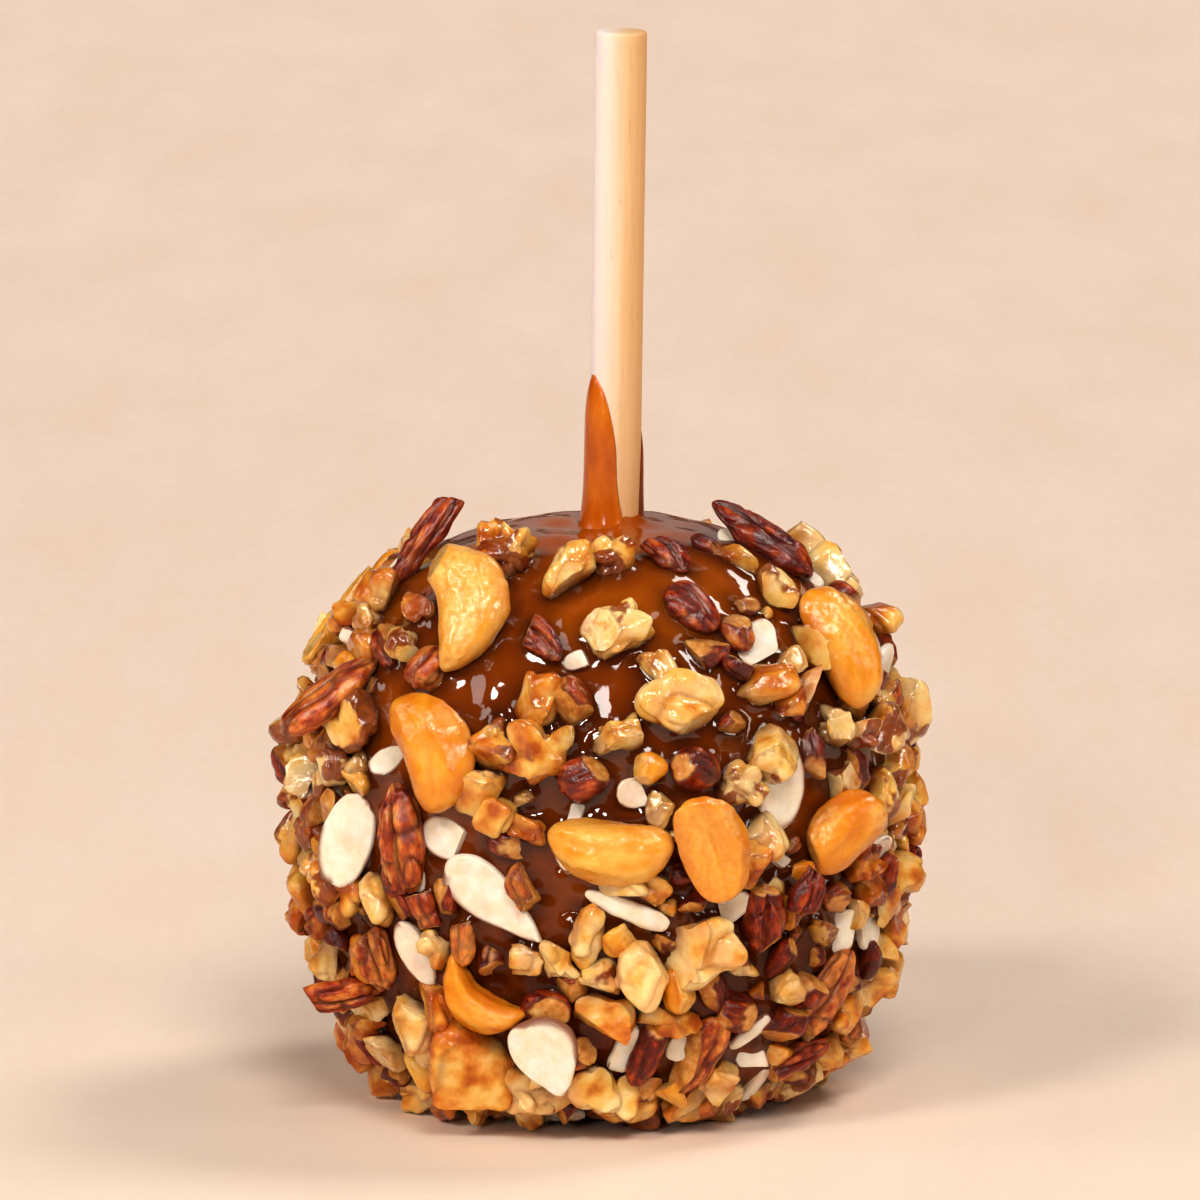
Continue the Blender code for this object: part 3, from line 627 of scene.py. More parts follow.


# ============================ chopped nuts ===================================

# Front pieces, listed in millimetres and degrees: kind, across, up, spin, length, width, tone.
# Kinds: w walnut, p pecan, a almond slice, s sliver, c cashew bit, k dark skin.
FRONT_BITS = (
    ("w", -12.7, 74.6, -25, 7.6, 6.6, 0.6), ("w", -25.6, 77.0, 60, 5.0, 3.6, 0.3),
    ("s", -27.6, 75.2, 65, 6.0, 2.2, 0.5), ("w", -24.6, 68.0, 10, 5.0, 4.4, 0.8),
    ("w", -29.9, 69.2, -20, 6.2, 5.0, 0.7), ("w", -31.7, 66.0, 40, 4.4, 4.0, 0.4),
    ("p", -33.5, 68.3, 80, 8.6, 4.4, 0.3), ("p", -29.0, 63.2, -65, 7.6, 4.2, 0.5),
    ("w", -26.4, 62.7, -60, 5.6, 4.4, 0.35), ("s", -33.6, 64.2, -25, 6.4, 2.2, 0.4),
    ("p", -23.1, 60.0, 60, 6.8, 5.0, 0.8), ("s", -34.9, 54.4, 58, 7.6, 2.3, 0.6),
    ("w", -8.4, 55.6, 70, 6.6, 5.0, 0.85), ("p", -3.6, 54.9, -60, 8.0, 5.8, 0.65),
    ("a", -2.8, 61.6, 15, 5.0, 2.8, 0.5), ("w", -8.0, 48.2, 0, 7.4, 6.8, 0.7),
    ("w", -14.4, 48.9, 30, 6.0, 5.4, 0.5), ("w", -15.6, 43.6, 5, 7.6, 5.0, 0.55),
    ("p", -2.1, 45.5, 20, 7.2, 5.8, 0.3), ("w", 1.6, 75.0, 70, 6.0, 4.6, 0.5),
    ("w", 19.0, 74.6, -45, 6.4, 3.2, 0.7), ("p", 15.6, 76.4, -36, 6.6, 3.0, 0.2),
    ("w", 23.4, 70.1, -40, 6.4, 5.0, 0.3), ("a", 20.6, 77.7, -25, 9.2, 4.8, 0.5),
    ("s", 27.9, 73.6, -50, 8.2, 2.8, 0.6), ("p", 25.0, 75.0, -50, 5.2, 3.0, 0.3),
    ("a", 21.8, 63.6, 65, 8.6, 6.2, 0.4), ("p", 18.6, 64.8, -70, 5.8, 4.6, 0.7),
    ("w", 28.6, 62.8, -40, 6.4, 5.0, 0.25), ("p", 14.1, 62.2, 15, 7.2, 4.6, 0.25),
    ("w", 25.3, 60.6, 20, 4.2, 3.2, 0.2), ("w", 22.3, 58.0, 8, 8.6, 4.6, 0.6),
    ("p", 27.6, 56.6, 52, 9.2, 4.4, 0.6), ("p", 34.6, 55.2, -40, 6.6, 5.0, 0.5),
    ("w", 40.4, 53.9, -70, 8.4, 6.4, 0.35), ("w", 38.0, 67.0, -40, 6.6, 5.2, 0.7),
    ("w", 37.2, 50.8, 30, 6.8, 6.4, 0.3), ("w", 32.0, 51.2, -80, 6.2, 5.0, 0.25),
    ("p", 28.7, 47.9, -88, 9.2, 3.6, 0.2), ("w", 2.8, 51.0, 8, 6.9, 4.8, 0.3),
    ("w", 8.0, 60.2, -60, 5.2, 3.2, 0.4), ("p", 18.0, 52.6, 50, 5.0, 4.0, 0.3),
    ("w", 22.1, 49.4, -30, 8.2, 6.6, 0.35), ("w", 19.3, 44.4, -30, 6.2, 5.2, 0.2),
    ("c", 6.2, 46.6, 40, 5.4, 4.8, 0.6), ("p", 12.7, 46.9, -20, 6.8, 6.0, 0.25),
    ("w", 7.9, 40.8, 60, 4.6, 3.8, 0.3), ("a", 4.6, 43.2, -20, 5.2, 4.2, 0.4),
    ("w", 21.7, 38.2, -58, 8.2, 4.3, 0.1), ("w", 39.4, 46.0, 70, 6.4, 5.0, 0.6),
    ("p", 34.6, 46.0, -60, 6.6, 4.2, 0.25), ("w", 42.3, 43.2, 80, 6.6, 5.0, 0.5),
    ("p", 41.5, 32.6, 40, 6.4, 5.0, 0.3), ("p", 41.2, 27.0, -60, 6.0, 4.4, 0.25),
    ("w", 38.6, 27.5, 0, 5.0, 4.8, 0.45), ("w", 34.6, 26.6, 45, 4.4, 4.0, 0.4),
    ("a", 33.0, 23.4, 30, 9.4, 6.4, 0.5), ("c", 38.6, 20.8, -50, 6.4, 4.2, 0.7),
    ("p", 27.9, 16.4, 30, 6.4, 5.2, 0.4), ("p", 30.8, 13.6, -20, 5.4, 4.4, 0.3),
    ("p", 24.2, 11.4, 40, 8.8, 5.6, 0.15), ("w", 30.0, 7.2, 10, 5.4, 4.8, 0.3),
    ("w", 21.3, 1.4, 20, 5.6, 4.0, 0.6), ("a", 20.6, 6.6, -60, 9.0, 4.6, 0.4),
    ("p", 17.4, 13.5, -15, 7.4, 5.6, 0.35), ("w", 10.6, 12.6, 10, 6.4, 3.8, 0.75),
    ("w", 7.0, 13.0, 5, 7.0, 4.4, 0.5), ("w", 0.2, 13.1, -10, 7.4, 6.0, 0.65),
    ("w", -0.4, 17.8, 20, 4.6, 4.2, 0.3), ("w", -2.1, 24.2, 80, 7.2, 4.6, 0.35),
    ("c", 3.0, 23.4, 30, 5.6, 4.8, 0.7), ("w", 6.4, 30.2, -30, 4.8, 3.4, 0.5),
    ("a", 17.8, 27.6, 30, 7.0, 4.2, 0.6), ("p", -7.2, 13.6, 10, 6.8, 5.6, 0.15),
    ("w", -10.0, 20.6, -20, 5.8, 3.8, 0.5), ("p", -9.6, 29.9, -65, 8.4, 4.8, 0.85),
    ("p", -12.5, 36.4, -15, 6.6, 3.4, 0.2), ("w", -13.6, 40.2, 60, 5.4, 4.6, 0.7),
    ("w", -10.6, 38.6, -20, 6.2, 3.2, 0.8), ("w", -10.7, 42.2, 30, 3.2, 2.2, 0.3),
    ("a", -20.8, 36.8, -25, 9.2, 5.6, 0.4), ("p", -23.4, 27.4, -65, 8.2, 4.2, 0.6),
    ("w", -30.0, 29.0, -60, 7.0, 4.2, 0.3), ("p", -34.8, 27.4, 70, 6.4, 4.8, 0.8),
    ("w", -39.6, 26.4, 50, 6.8, 5.4, 0.8), ("w", -36.8, 20.0, 80, 7.2, 4.8, 0.15),
    ("w", -31.2, 13.4, 0, 7.2, 3.9, 0.3), ("w", -24.5, 12.1, 70, 8.4, 6.2, 0.25),
    ("w", -28.2, 7.3, 20, 7.2, 5.2, 0.2), ("w", -22.6, 7.3, -30, 6.2, 4.4, 0.25),
    ("p", -31.4, 8.4, -60, 7.2, 4.2, 0.25), ("k", -27.9, 12.4, -86, 12.0, 2.4, 0.2),
    ("w", -26.6, 3.2, 0, 4.8, 4.4, 0.5), ("w", -10.2, 0.4, -75, 7.0, 3.9, 0.45),
    ("w", 2.4, 0.0, 0, 10.0, 4.4, 0.6), ("w", -0.4, 3.6, -70, 7.2, 5.8, 0.3),
    ("a", 11.2, 8.4, 60, 5.6, 3.6, 0.3), ("s", 3.4, 8.2, 75, 8.8, 3.0, 0.3),
    ("w", -40.6, 49.0, 20, 6.2, 4.4, 0.6), ("w", -37.8, 49.9, 0, 4.4, 4.0, 0.8),
    ("p", -34.6, 50.6, -20, 7.2, 4.2, 0.6), ("w", -33.0, 47.0, -60, 4.6, 3.2, 0.4),
    ("p", -43.0, 46.5, -60, 6.4, 4.4, 0.2), ("w", -41.4, 43.4, 20, 6.2, 5.2, 0.4),
    ("w", -40.4, 38.0, 70, 8.2, 5.2, 0.45), ("s", -38.0, 46.0, 60, 5.4, 2.0, 0.4),
    ("c", -33.4, 45.2, -50, 6.4, 4.2, 0.8), ("a", -29.2, 47.9, 30, 6.2, 3.4, 0.5),
    ("w", -35.4, 31.0, 20, 5.0, 4.4, 0.4), ("s", -25.0, 31.4, 80, 4.0, 2.4, 0.2),
)

# Bare caramel on the front: across, up, radius, in millimetres.
WINDOWS = (
    (-12.0, 57.5, 6.0), (2.6, 57.0, 4.2), (-14.5, 67.0, 4.5), (-3.0, 68.5, 3.6), (-9.0, 78.0, 7.0),
    (8.0, 64.5, 4.0), (14.0, 75.5, 3.0), (-4.0, 80.0, 6.0), (-9.0, 24.5, 4.0), (-3.0, 29.8, 3.0),
    (18.0, 66.5, 2.2),
)


def bit_form(kind, level, size, draw):
    dirs = SPHERES[level][0]
    if kind == "w":
        planes = draw.choice((1, 2, 3, 4))
        return walnut_form(dirs, size * 1.14, draw, planes, draw.uniform(0.25, 0.60))
    if kind == "p":
        ends = (draw.choice((0, 0.12, 0.25)), draw.choice((0, 0.15, 0.3)))
        return pecan_form(dirs, size * 1.08, draw, 0.0, ends, 0.08, draw.choice((0, 1, 1, 2)), 0.7)
    if kind == "a":
        return slice_form(dirs, size, draw, draw.uniform(0.05, 0.3), 0.6)
    if kind == "s":
        return sliver_form(dirs, size, draw)
    if kind == "k":
        return slice_form(dirs, size, draw, 0.7, 0.0)
    return walnut_form(dirs, size, draw, 3, 0.08)


THICKNESS = {"w": 0.88, "p": 0.85, "s": 0.75, "c": 0.80}
SLAB = {"a": 1.15 * MM, "k": 0.7 * MM}


def bit_size(kind, length, width):
    thickness = SLAB[kind] if kind in SLAB else width * THICKNESS[kind]
    return np.array([length, width, thickness])


def place_bit(face, across, up, spin, size, sink, facing, lift):
    """Where a piece lies so that its middle shows at a place on a face."""
    spot = face.coat_point(across, up)
    normal = coat_normal(spot)
    axes = lay_axes(normal, face, spin, facing, lift)
    rise = size[2] / 2 - sink
    for _ in range(2):
        centre = spot + normal * rise
        miss_across = across - centre.dot(face.right)
        miss_up = up - centre.dot(face.upright)
        spot = face.coat_point(across + miss_across, up + miss_up)
        normal = coat_normal(spot)
    return Matrix.Translation(spot + normal * rise) @ axes.to_4x4()


# Thin pieces are taken to be thicker than they are, and large slices wider, to keep others off them.
LEAST_ROOM = 3.6 * MM
SLICE_ROOM = 1.2


class Laid:
    """The pieces already laid, as ellipsoids."""

    def __init__(self):
        self.centres = np.zeros((0, 3))
        self.sizes = np.zeros((0, 3))
        self.axes = np.zeros((0, 3, 3))

    def add(self, place, size):
        self.centres = np.vstack((self.centres, np.array(place.translation)))
        self.sizes = np.vstack((self.sizes, np.maximum(size, LEAST_ROOM) / 2))
        self.axes = np.concatenate((self.axes, np.array(place.to_3x3())[None]))

    def crowding(self, centre, radius):
        """How far, as a share of its radius, a piece would run into those already laid."""
        gaps = np.array(centre) - self.centres
        distance = np.maximum(np.linalg.norm(gaps, axis=1), 1e-9)
        local = np.einsum("nij,ni->nj", self.axes, gaps / distance[:, None])
        reach = 1 / np.sqrt(((local / self.sizes) ** 2).sum(axis=1))
        return ((radius + reach - distance) / radius).max()


BIT_BUNCH = {
    "w": "chopped_walnut", "p": "chopped_pecan", "a": "almond_flakes", "s": "almond_slivers",
    "c": "cashew_bits", "k": "skin_bits",
}
CRUMB_BUNCH = {"w": "walnut_crumbs", "p": "pecan_crumbs", "c": "cashew_crumbs"}
BIT_LOOKS = {
    "chopped_walnut": "walnut", "chopped_pecan": "pecan", "almond_flakes": "almond",
    "almond_slivers": "almond", "cashew_bits": "cashew", "skin_bits": "skin",
    "walnut_crumbs": "walnut", "pecan_crumbs": "pecan", "cashew_crumbs": "cashew",
}
# Edges sharper than this many degrees stay crisp.
CRISP = {"cashew": 0.0, "pecan": 55.0, "almond": 40.0, "walnut": 42.0, "skin": 40.0}
FLOOR_GAP = 0.05 * MM


def sunk(kind):
    """How deep a piece sits in the caramel."""
    return 0.1 * MM if kind in SLAB else 0.4 * MM


def lift_off_floor(place, form):
    low = (form["points"] @ np.array(place.to_3x3()).T)[:, 2].min() + place.translation.z
    if low < FLOOR_GAP:
        place.translation.z += FLOOR_GAP - low


def add_front_bits(bunches, draw, taken):
    for kind, across, up, spin, length, width, tone in FRONT_BITS:
        size = bit_size(kind, length * MM, width * MM)
        facing = 0.25 + 0.35 * abs(across) / 45
        lift = draw.uniform(-0.2, 0.3)
        turn = math.radians(spin)
        place = place_bit(FRONT, across * MM, up * MM, turn, size, sunk(kind), facing, lift)
        form = bit_form(kind, FINE, size, draw)
        lift_off_floor(place, form)
        bunches[BIT_BUNCH[kind]].add(form, FINE, place, draw.random(), tone)
        taken.add(place, size)


ROUND_BITS = (
    # kind, weight, length and width ranges in millimetres
    ("w", 0.45, (4.6, 9.0), (3.8, 6.6)),
    ("p", 0.37, (5.0, 9.5), (3.4, 5.4)),
    ("c", 0.07, (4.5, 7.0), (3.6, 5.0)),
    ("a", 0.06, (6.5, 10.0), (4.2, 6.4)),
    ("s", 0.05, (6.0, 9.5), (1.8, 2.6)),
)
CRUMB_KINDS = 3                 # only the first of these are crumbs too
ROUND_PASSES = (
    # tries, room, scale, heights in millimetres
    (6000, 0.42, 1.0, (-3.0, 79.0)),
    (700, 0.6, 1.0, (-3.5, 5.0)),
    (1600, 0.30, 0.55, (-3.0, 79.0)),
)
CAP_RADIUS = 12 * MM            # bare caramel round the stick
CAP_EDGE = (66, 75)             # its lower edge wanders between these heights, in millimetres
FRONT_SHARE = 0.25
BARE_ABOVE = 40 * MM            # on the front, where most pieces are listed one by one
BARE_MIDDLE = -6 * MM
BARE_HALF = 24 * MM
SHOWN_BITS = -10.0 * MM


def bare_at(across, up):
    """Whether the front shows bare caramel, or is already laid from the list, at a place."""
    if up > BARE_ABOVE and abs(across - BARE_MIDDLE) < BARE_HALF:
        return True
    return any(math.hypot(across - x * MM, up - y * MM) < r * MM for x, y, r in WINDOWS)


def stays_bare(spot, draw):
    """Whether the scatter leaves a spot alone: round the stick, and where the front shows caramel."""
    from_stick = math.hypot(spot.x - STICK_OFFSET, spot.y)
    if from_stick < CAP_RADIUS or spot.z > draw.uniform(*CAP_EDGE) * MM:
        return True
    on_front = -spot.y / WAIST_RADIUS > FRONT_SHARE
    return on_front and bare_at(spot.dot(FRONT.right), spot.dot(FRONT.upright))


def add_round_bits(bunches, draw, taken, tries, room, scale, heights):
    """Chopped nuts over the whole apple by a seeded rule, where there is room for them."""
    crumbs = scale < 1
    kinds = ROUND_BITS[:CRUMB_KINDS] if crumbs else ROUND_BITS
    names = CRUMB_BUNCH if crumbs else BIT_BUNCH
    weights = [row[1] for row in kinds]
    for _ in range(tries):
        bearing, up = draw.uniform(0, 2 * math.pi), draw.uniform(*heights) * MM
        face = Face(bearing)
        spot = face.coat_point(0.0, up)
        if stays_bare(spot, draw):
            continue
        kind, _, lengths, widths = draw.choices(kinds, weights)[0]
        length = draw.uniform(*lengths) * MM * scale
        width = min(draw.uniform(*widths) * MM * scale, 0.95 * length)
        size = bit_size(kind, length, width)
        radius = (length + width) / 4
        centre = spot + coat_normal(spot) * size[2] * 0.35
        crowd = taken.crowding(centre, radius)
        if crowd > room:
            continue
        lift = draw.uniform(-0.5, 0.6)
        sink = sunk(kind) * scale - max(0.0, crowd) * radius * 0.5
        spin = draw.uniform(0, 2 * math.pi)
        place = place_bit(face, 0.0, up, spin, size, sink, draw.uniform(-0.15, 0.2), lift)
        level = COARSE if crumbs or spot.y > SHOWN_BITS else FINE
        form = bit_form(kind, level, size, draw)
        lift_off_floor(place, form)
        tone = draw.random() if kind != "p" else draw.random() ** 1.3
        bunches[names[kind]].add(form, level, place, draw.random(), tone)
        taken.add(place, size)


# ============================ caramel ========================================

COAT_RING_STEP = 0.70 * MM
COAT_AROUND = 380
OUTLINE_STEPS = 400
# Depth, size and seed of its swells.
COAT_SWELLS = ((0.50 * MM, 11 * MM, 3), (0.34 * MM, 4.5 * MM, 4))
RIPPLE_SIZE = 2.2 * MM
RIPPLE_DEPTHS = (0.14 * MM, 0.74 * MM)      # near the top, and toward the foot
RIPPLE_FADE = (56 * MM, 36 * MM)            # heights between which it deepens
CALM_FADE = (80 * MM, 72 * MM)              # and below which it sets in
FLAT_FADE = 6 * MM                          # it fades out again from here down to the foot
# Height and reach of the caramel drawn up round each nut, and round the stick.
NUT_CREEPS = ((0.75 * MM, 0.80 * MM), (0.25 * MM, 2.2 * MM))
STICK_CREEP = (2.2 * MM, 1.5 * MM)
# Reach of the painted shade that darkens the caramel round each nut.
NUT_SHADE_REACH = 2.4 * MM


def coat_outline():
    """Radius and height down the outside, evenly spaced, from the top to the foot's rim."""
    crown = np.linspace(0, math.pi / 2, OUTLINE_STEPS)
    radius = WAIST_RADIUS * np.sin(crown) ** (2 / CROWN_POWER)
    height = WAIST_HEIGHT + CROWN_HEIGHT * np.cos(crown) ** (2 / CROWN_POWER)
    down = np.linspace(WAIST_HEIGHT, 0, OUTLINE_STEPS)[1:]
    narrowing = ((WAIST_HEIGHT - down) / BASE_DEPTH) ** BASE_POWER
    base = WAIST_RADIUS * (1 - narrowing) ** (1 / BASE_POWER)
    radius = np.concatenate((radius, base))
    height = np.concatenate((height, down))
    run = np.concatenate(([0], np.cumsum(np.hypot(np.diff(radius), np.diff(height)))))
    marks = np.arange(COAT_RING_STEP, run[-1], COAT_RING_STEP)
    return np.interp(marks, run, radius), np.interp(marks, run, height)


def coat_rings():
    """Points of the plain form, ring by ring, and the number of rings."""
    radius, height = coat_outline()
    turn = np.linspace(0, 2 * math.pi, COAT_AROUND, endpoint=False)
    points = np.stack((
        np.outer(radius, np.cos(turn)),
        np.outer(radius, np.sin(turn)),
        np.repeat(height[:, None], COAT_AROUND, axis=1),
    ), axis=2).reshape(-1, 3)
    points[:, :2] *= swell_at(points)[:, None]
    return points, len(radius)


def grid_faces(rows, columns):
    """Quads of a tube of rings, from the first ring down to the last."""
    row, column = np.meshgrid(np.arange(rows - 1), np.arange(columns), indexing="ij")
    after = (column + 1) % columns
    near, far = row * columns, (row + 1) * columns
    corners = (near + column, far + column, far + after, near + after)
    return np.stack(corners, axis=2).reshape(-1, 4)


def closed_faces(rows, columns):
    """A tube of rings, with fans that close it round two more points, its top and its foot."""
    faces = grid_faces(rows, columns).tolist()
    top = rows * columns
    foot, last = top + 1, top - columns
    for column in range(columns):
        after = (column + 1) % columns
        faces.append([top, column, after])
        faces.append([foot, last + after, last + column])
    return faces


def fading(distance, creep):
    height, reach = creep
    return height * np.exp(-distance / reach)


def stick_distance(points):
    """Distance of points from the stick's side."""
    height = points[:, 2] - CROWN_Z
    axis_x = STICK_OFFSET + np.tan(STICK_LEAN) * height
    return np.hypot(points[:, 0] - axis_x, points[:, 1]) - STICK_RADIUS


def rippled(points, near):
    """How far the caramel stands out from the plain form, with the distance to the nearest nut."""
    height = points[:, 2]
    push = 0.05 * MM + sum(depth * noise(points, size, seed) for depth, size, seed in COAT_SWELLS)
    calm, deep = RIPPLE_DEPTHS
    depth = calm + (deep - calm) * smooth_step(*RIPPLE_FADE, height)
    push = push + depth * noise(points, RIPPLE_SIZE, 5) * smooth_step(*CALM_FADE, height)
    push = push + sum(fading(near, creep) for creep in NUT_CREEPS)
    return push * smooth_step(0.0, FLAT_FADE, height)


def build_coat(nut_tree, material):
    """The caramel over the whole apple, dimpled round the stick and drawn up round the nuts."""
    points, rows = coat_rings()
    slopes = coat_slopes(points)
    normals = slopes / np.linalg.norm(slopes, axis=1)[:, None]
    near = np.array([nut_tree.find_nearest(Vector(point))[3] for point in points])
    points = pushed(points, normals, rippled(points, near))
    upper = points[:, 2] > WAIST_HEIGHT
    away = np.hypot(points[:, 0] - STICK_OFFSET, points[:, 1])
    points[:, 2] -= upper * DIMPLE_DEPTH * np.exp(-(away / DIMPLE_RADIUS) ** 2)
    points[:, 2] += upper * fading(np.maximum(stick_distance(points), 0), STICK_CREEP)
    points[-COAT_AROUND:, 2] = 0.0
    top, foot = points[:COAT_AROUND].mean(axis=0), (0.0, 0.0, 0.0)
    points = np.vstack((points, top, foot))
    coat = make_piece("caramel_coat", points, closed_faces(rows, COAT_AROUND), material)
    # Closeness to the nuts, which the caramel's material turns into painted shade.
    add_layer(coat, "painted_nut_shade", np.append(np.exp(-near / NUT_SHADE_REACH), (0, 0)))
    return coat


# ============================ stick and its caramel ==========================

def stick_matrix():
    place = Matrix.Translation((STICK_OFFSET, 0.0, CROWN_Z))
    return place @ Matrix.Rotation(STICK_LEAN, 4, "Y")


def standing(name, points, faces, material):
    """A piece made along the stick's own axis, put in the stick's place."""
    piece = make_piece(name, points, faces, material)
    piece.matrix_world = stick_matrix()
    return piece


STICK_AROUND = 72
STICK_RINGS = 90
STICK_EASE = 0.5 * MM           # rounding of its top edge
EASE_STEPS = 6
FOOT_GAP = 0.3 * MM             # the visual stick ends this far above the model's
# Depth, size, stretch along the stick and seed of its unevenness.
STICK_FLATS = ((0.022 * MM, 1.3 * MM, 0.06, 8), (0.03 * MM, 4 * MM, 0.1, 9))


def stick_profile(top, bottom):
    """Radius and height of each ring, from the eased top edge down."""
    shoulder = top - STICK_EASE
    profile = []
    for step in range(EASE_STEPS + 1):
        turn = step / EASE_STEPS * math.pi / 2
        radius = STICK_RADIUS - STICK_EASE + STICK_EASE * math.sin(turn)
        profile.append((radius, shoulder + STICK_EASE * math.cos(turn)))
    for step in range(1, STICK_RINGS):
        profile.append((STICK_RADIUS, shoulder + (bottom - shoulder) * step / STICK_RINGS))
    profile.append((STICK_RADIUS, bottom))
    return profile


def build_stick(material):
    """A turned birch dowel with an eased top, from inside the apple upward."""
    low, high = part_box("stick")
    length = (high[2] - low[2]) / math.cos(STICK_LEAN)
    top = STICK_TOP - CROWN_Z
    bottom = top - length + FOOT_GAP
    profile = stick_profile(top, bottom)
    turns = np.linspace(0, 2 * math.pi, STICK_AROUND, endpoint=False)
    points = np.array([
        (radius * math.cos(turn), radius * math.sin(turn), height)
        for radius, height in profile for turn in turns
    ])
    flats = sum(
        depth * noise(points * (1, 1, stretch), size, seed) for depth, size, stretch, seed in STICK_FLATS
    )
    points = pushed(points, points * (1, 1, 0) / STICK_RADIUS, flats)
    points = np.vstack((points, (0, 0, top), (0, 0, bottom)))
    return standing("birch_stick", points, closed_faces(len(profile), STICK_AROUND), material)


RUN_LEVELS = 80
RUN_ARC = 31
RUN_FOOT = 78.0 * MM
RUN_FLARE = 2.4 * MM            # height over which its foot spreads
RUN_EDGE = 0.25 * MM            # how far its inside reaches into the stick
RUN_RIPPLE = 0.07 * MM


def tongue_edges(share):
    """Bearings of the tongue's hidden and shown edges, from its foot to its rounded tip."""
    back = -205.0 + 45.0 * share ** 6
    front = -76.0 - 30.0 * share ** 1.3 - 42.0 * share ** 9 + 34.0 * math.exp(-share / 0.06)
    wander = 1.5 * math.sin(14 * share)
    return math.radians(back), math.radians(front + wander)


def trickle_edges(share):
    """Bearings of the two edges of the thin trickle."""
    half = 20.0 * (1 - share ** 2) + 2.0
    return math.radians(2.0 - half), math.radians(2.0 + half)


def crescent(thick, back, front):
    """Radius and bearing round one level: over its outside, then back along the stick."""
    outline = []
    for step in range(RUN_ARC):
        across = 2 * step / (RUN_ARC - 1) - 1
        bulge = max(0.0, math.cos(across * math.pi / 2)) ** 0.55
        outline.append((STICK_RADIUS + thick * bulge, (back + front) / 2 + (front - back) / 2 * across))
    for step in range(RUN_ARC - 2, 0, -1):
        outline.append((STICK_RADIUS - RUN_EDGE, outline[step][1]))
    return outline


def build_run(name, tip, thickness, flare, edges, material):
    """Caramel that climbed the stick: crescents that narrow to a rounded tip."""
    points = []
    for level in range(RUN_LEVELS + 1):
        height = RUN_FOOT + (tip - RUN_FOOT) * math.sin(level / RUN_LEVELS * math.pi / 2)
        share = max(0.0, height - CROWN_Z) / (tip - CROWN_Z)
        spread = flare * math.exp(-max(0.0, height - CROWN_Z + 0.8 * MM) / RUN_FLARE)
        thick = (thickness + spread) * max(0.15, 1 - share ** 8)
        for radius, turn in crescent(thick, *edges(share)):
            points.append((radius * math.cos(turn), radius * math.sin(turn), height - CROWN_Z))
    points = np.array(points)
    outward = points * (1, 1, 0)
    outward = outward / np.linalg.norm(outward, axis=1)[:, None]
    outside = np.hypot(points[:, 0], points[:, 1]) > STICK_RADIUS + 0.15 * MM
    points = pushed(points, outward, RUN_RIPPLE * noise(points * (1, 1, 0.5), 2.4 * MM, 12) * outside)
    around = 2 * RUN_ARC - 2
    faces = grid_faces(RUN_LEVELS + 1, around)[:, ::-1].tolist()
    faces.append(list(range(around))[::-1])
    faces.append(list(range(RUN_LEVELS * around, (RUN_LEVELS + 1) * around)))
    return standing(name, points, faces, material)


# ============================ materials ======================================

def srgb(red, green, blue):
    """A linear colour from display values of 0 to 255."""
    linear = []
    for value in (red, green, blue):
        value /= 255
        linear.append(value / 12.92 if value <= 0.04045 else ((value + 0.055) / 1.055) ** 2.4)
    return (*linear, 1.0)


# Heights between which the clear coat thickens and the caramel's darker foot, thicker caramel and partly
# painted shade, fades out, and its thin share.
DULL_BELOW = 28.0 * MM
SHINY_ABOVE = 56.0 * MM
DULL_SHARE = 0.32
# Heights between which the caramel's bare cap sets in.
CAP_FOOT = 76.0 * MM
CAP_RIM = 81.0 * MM


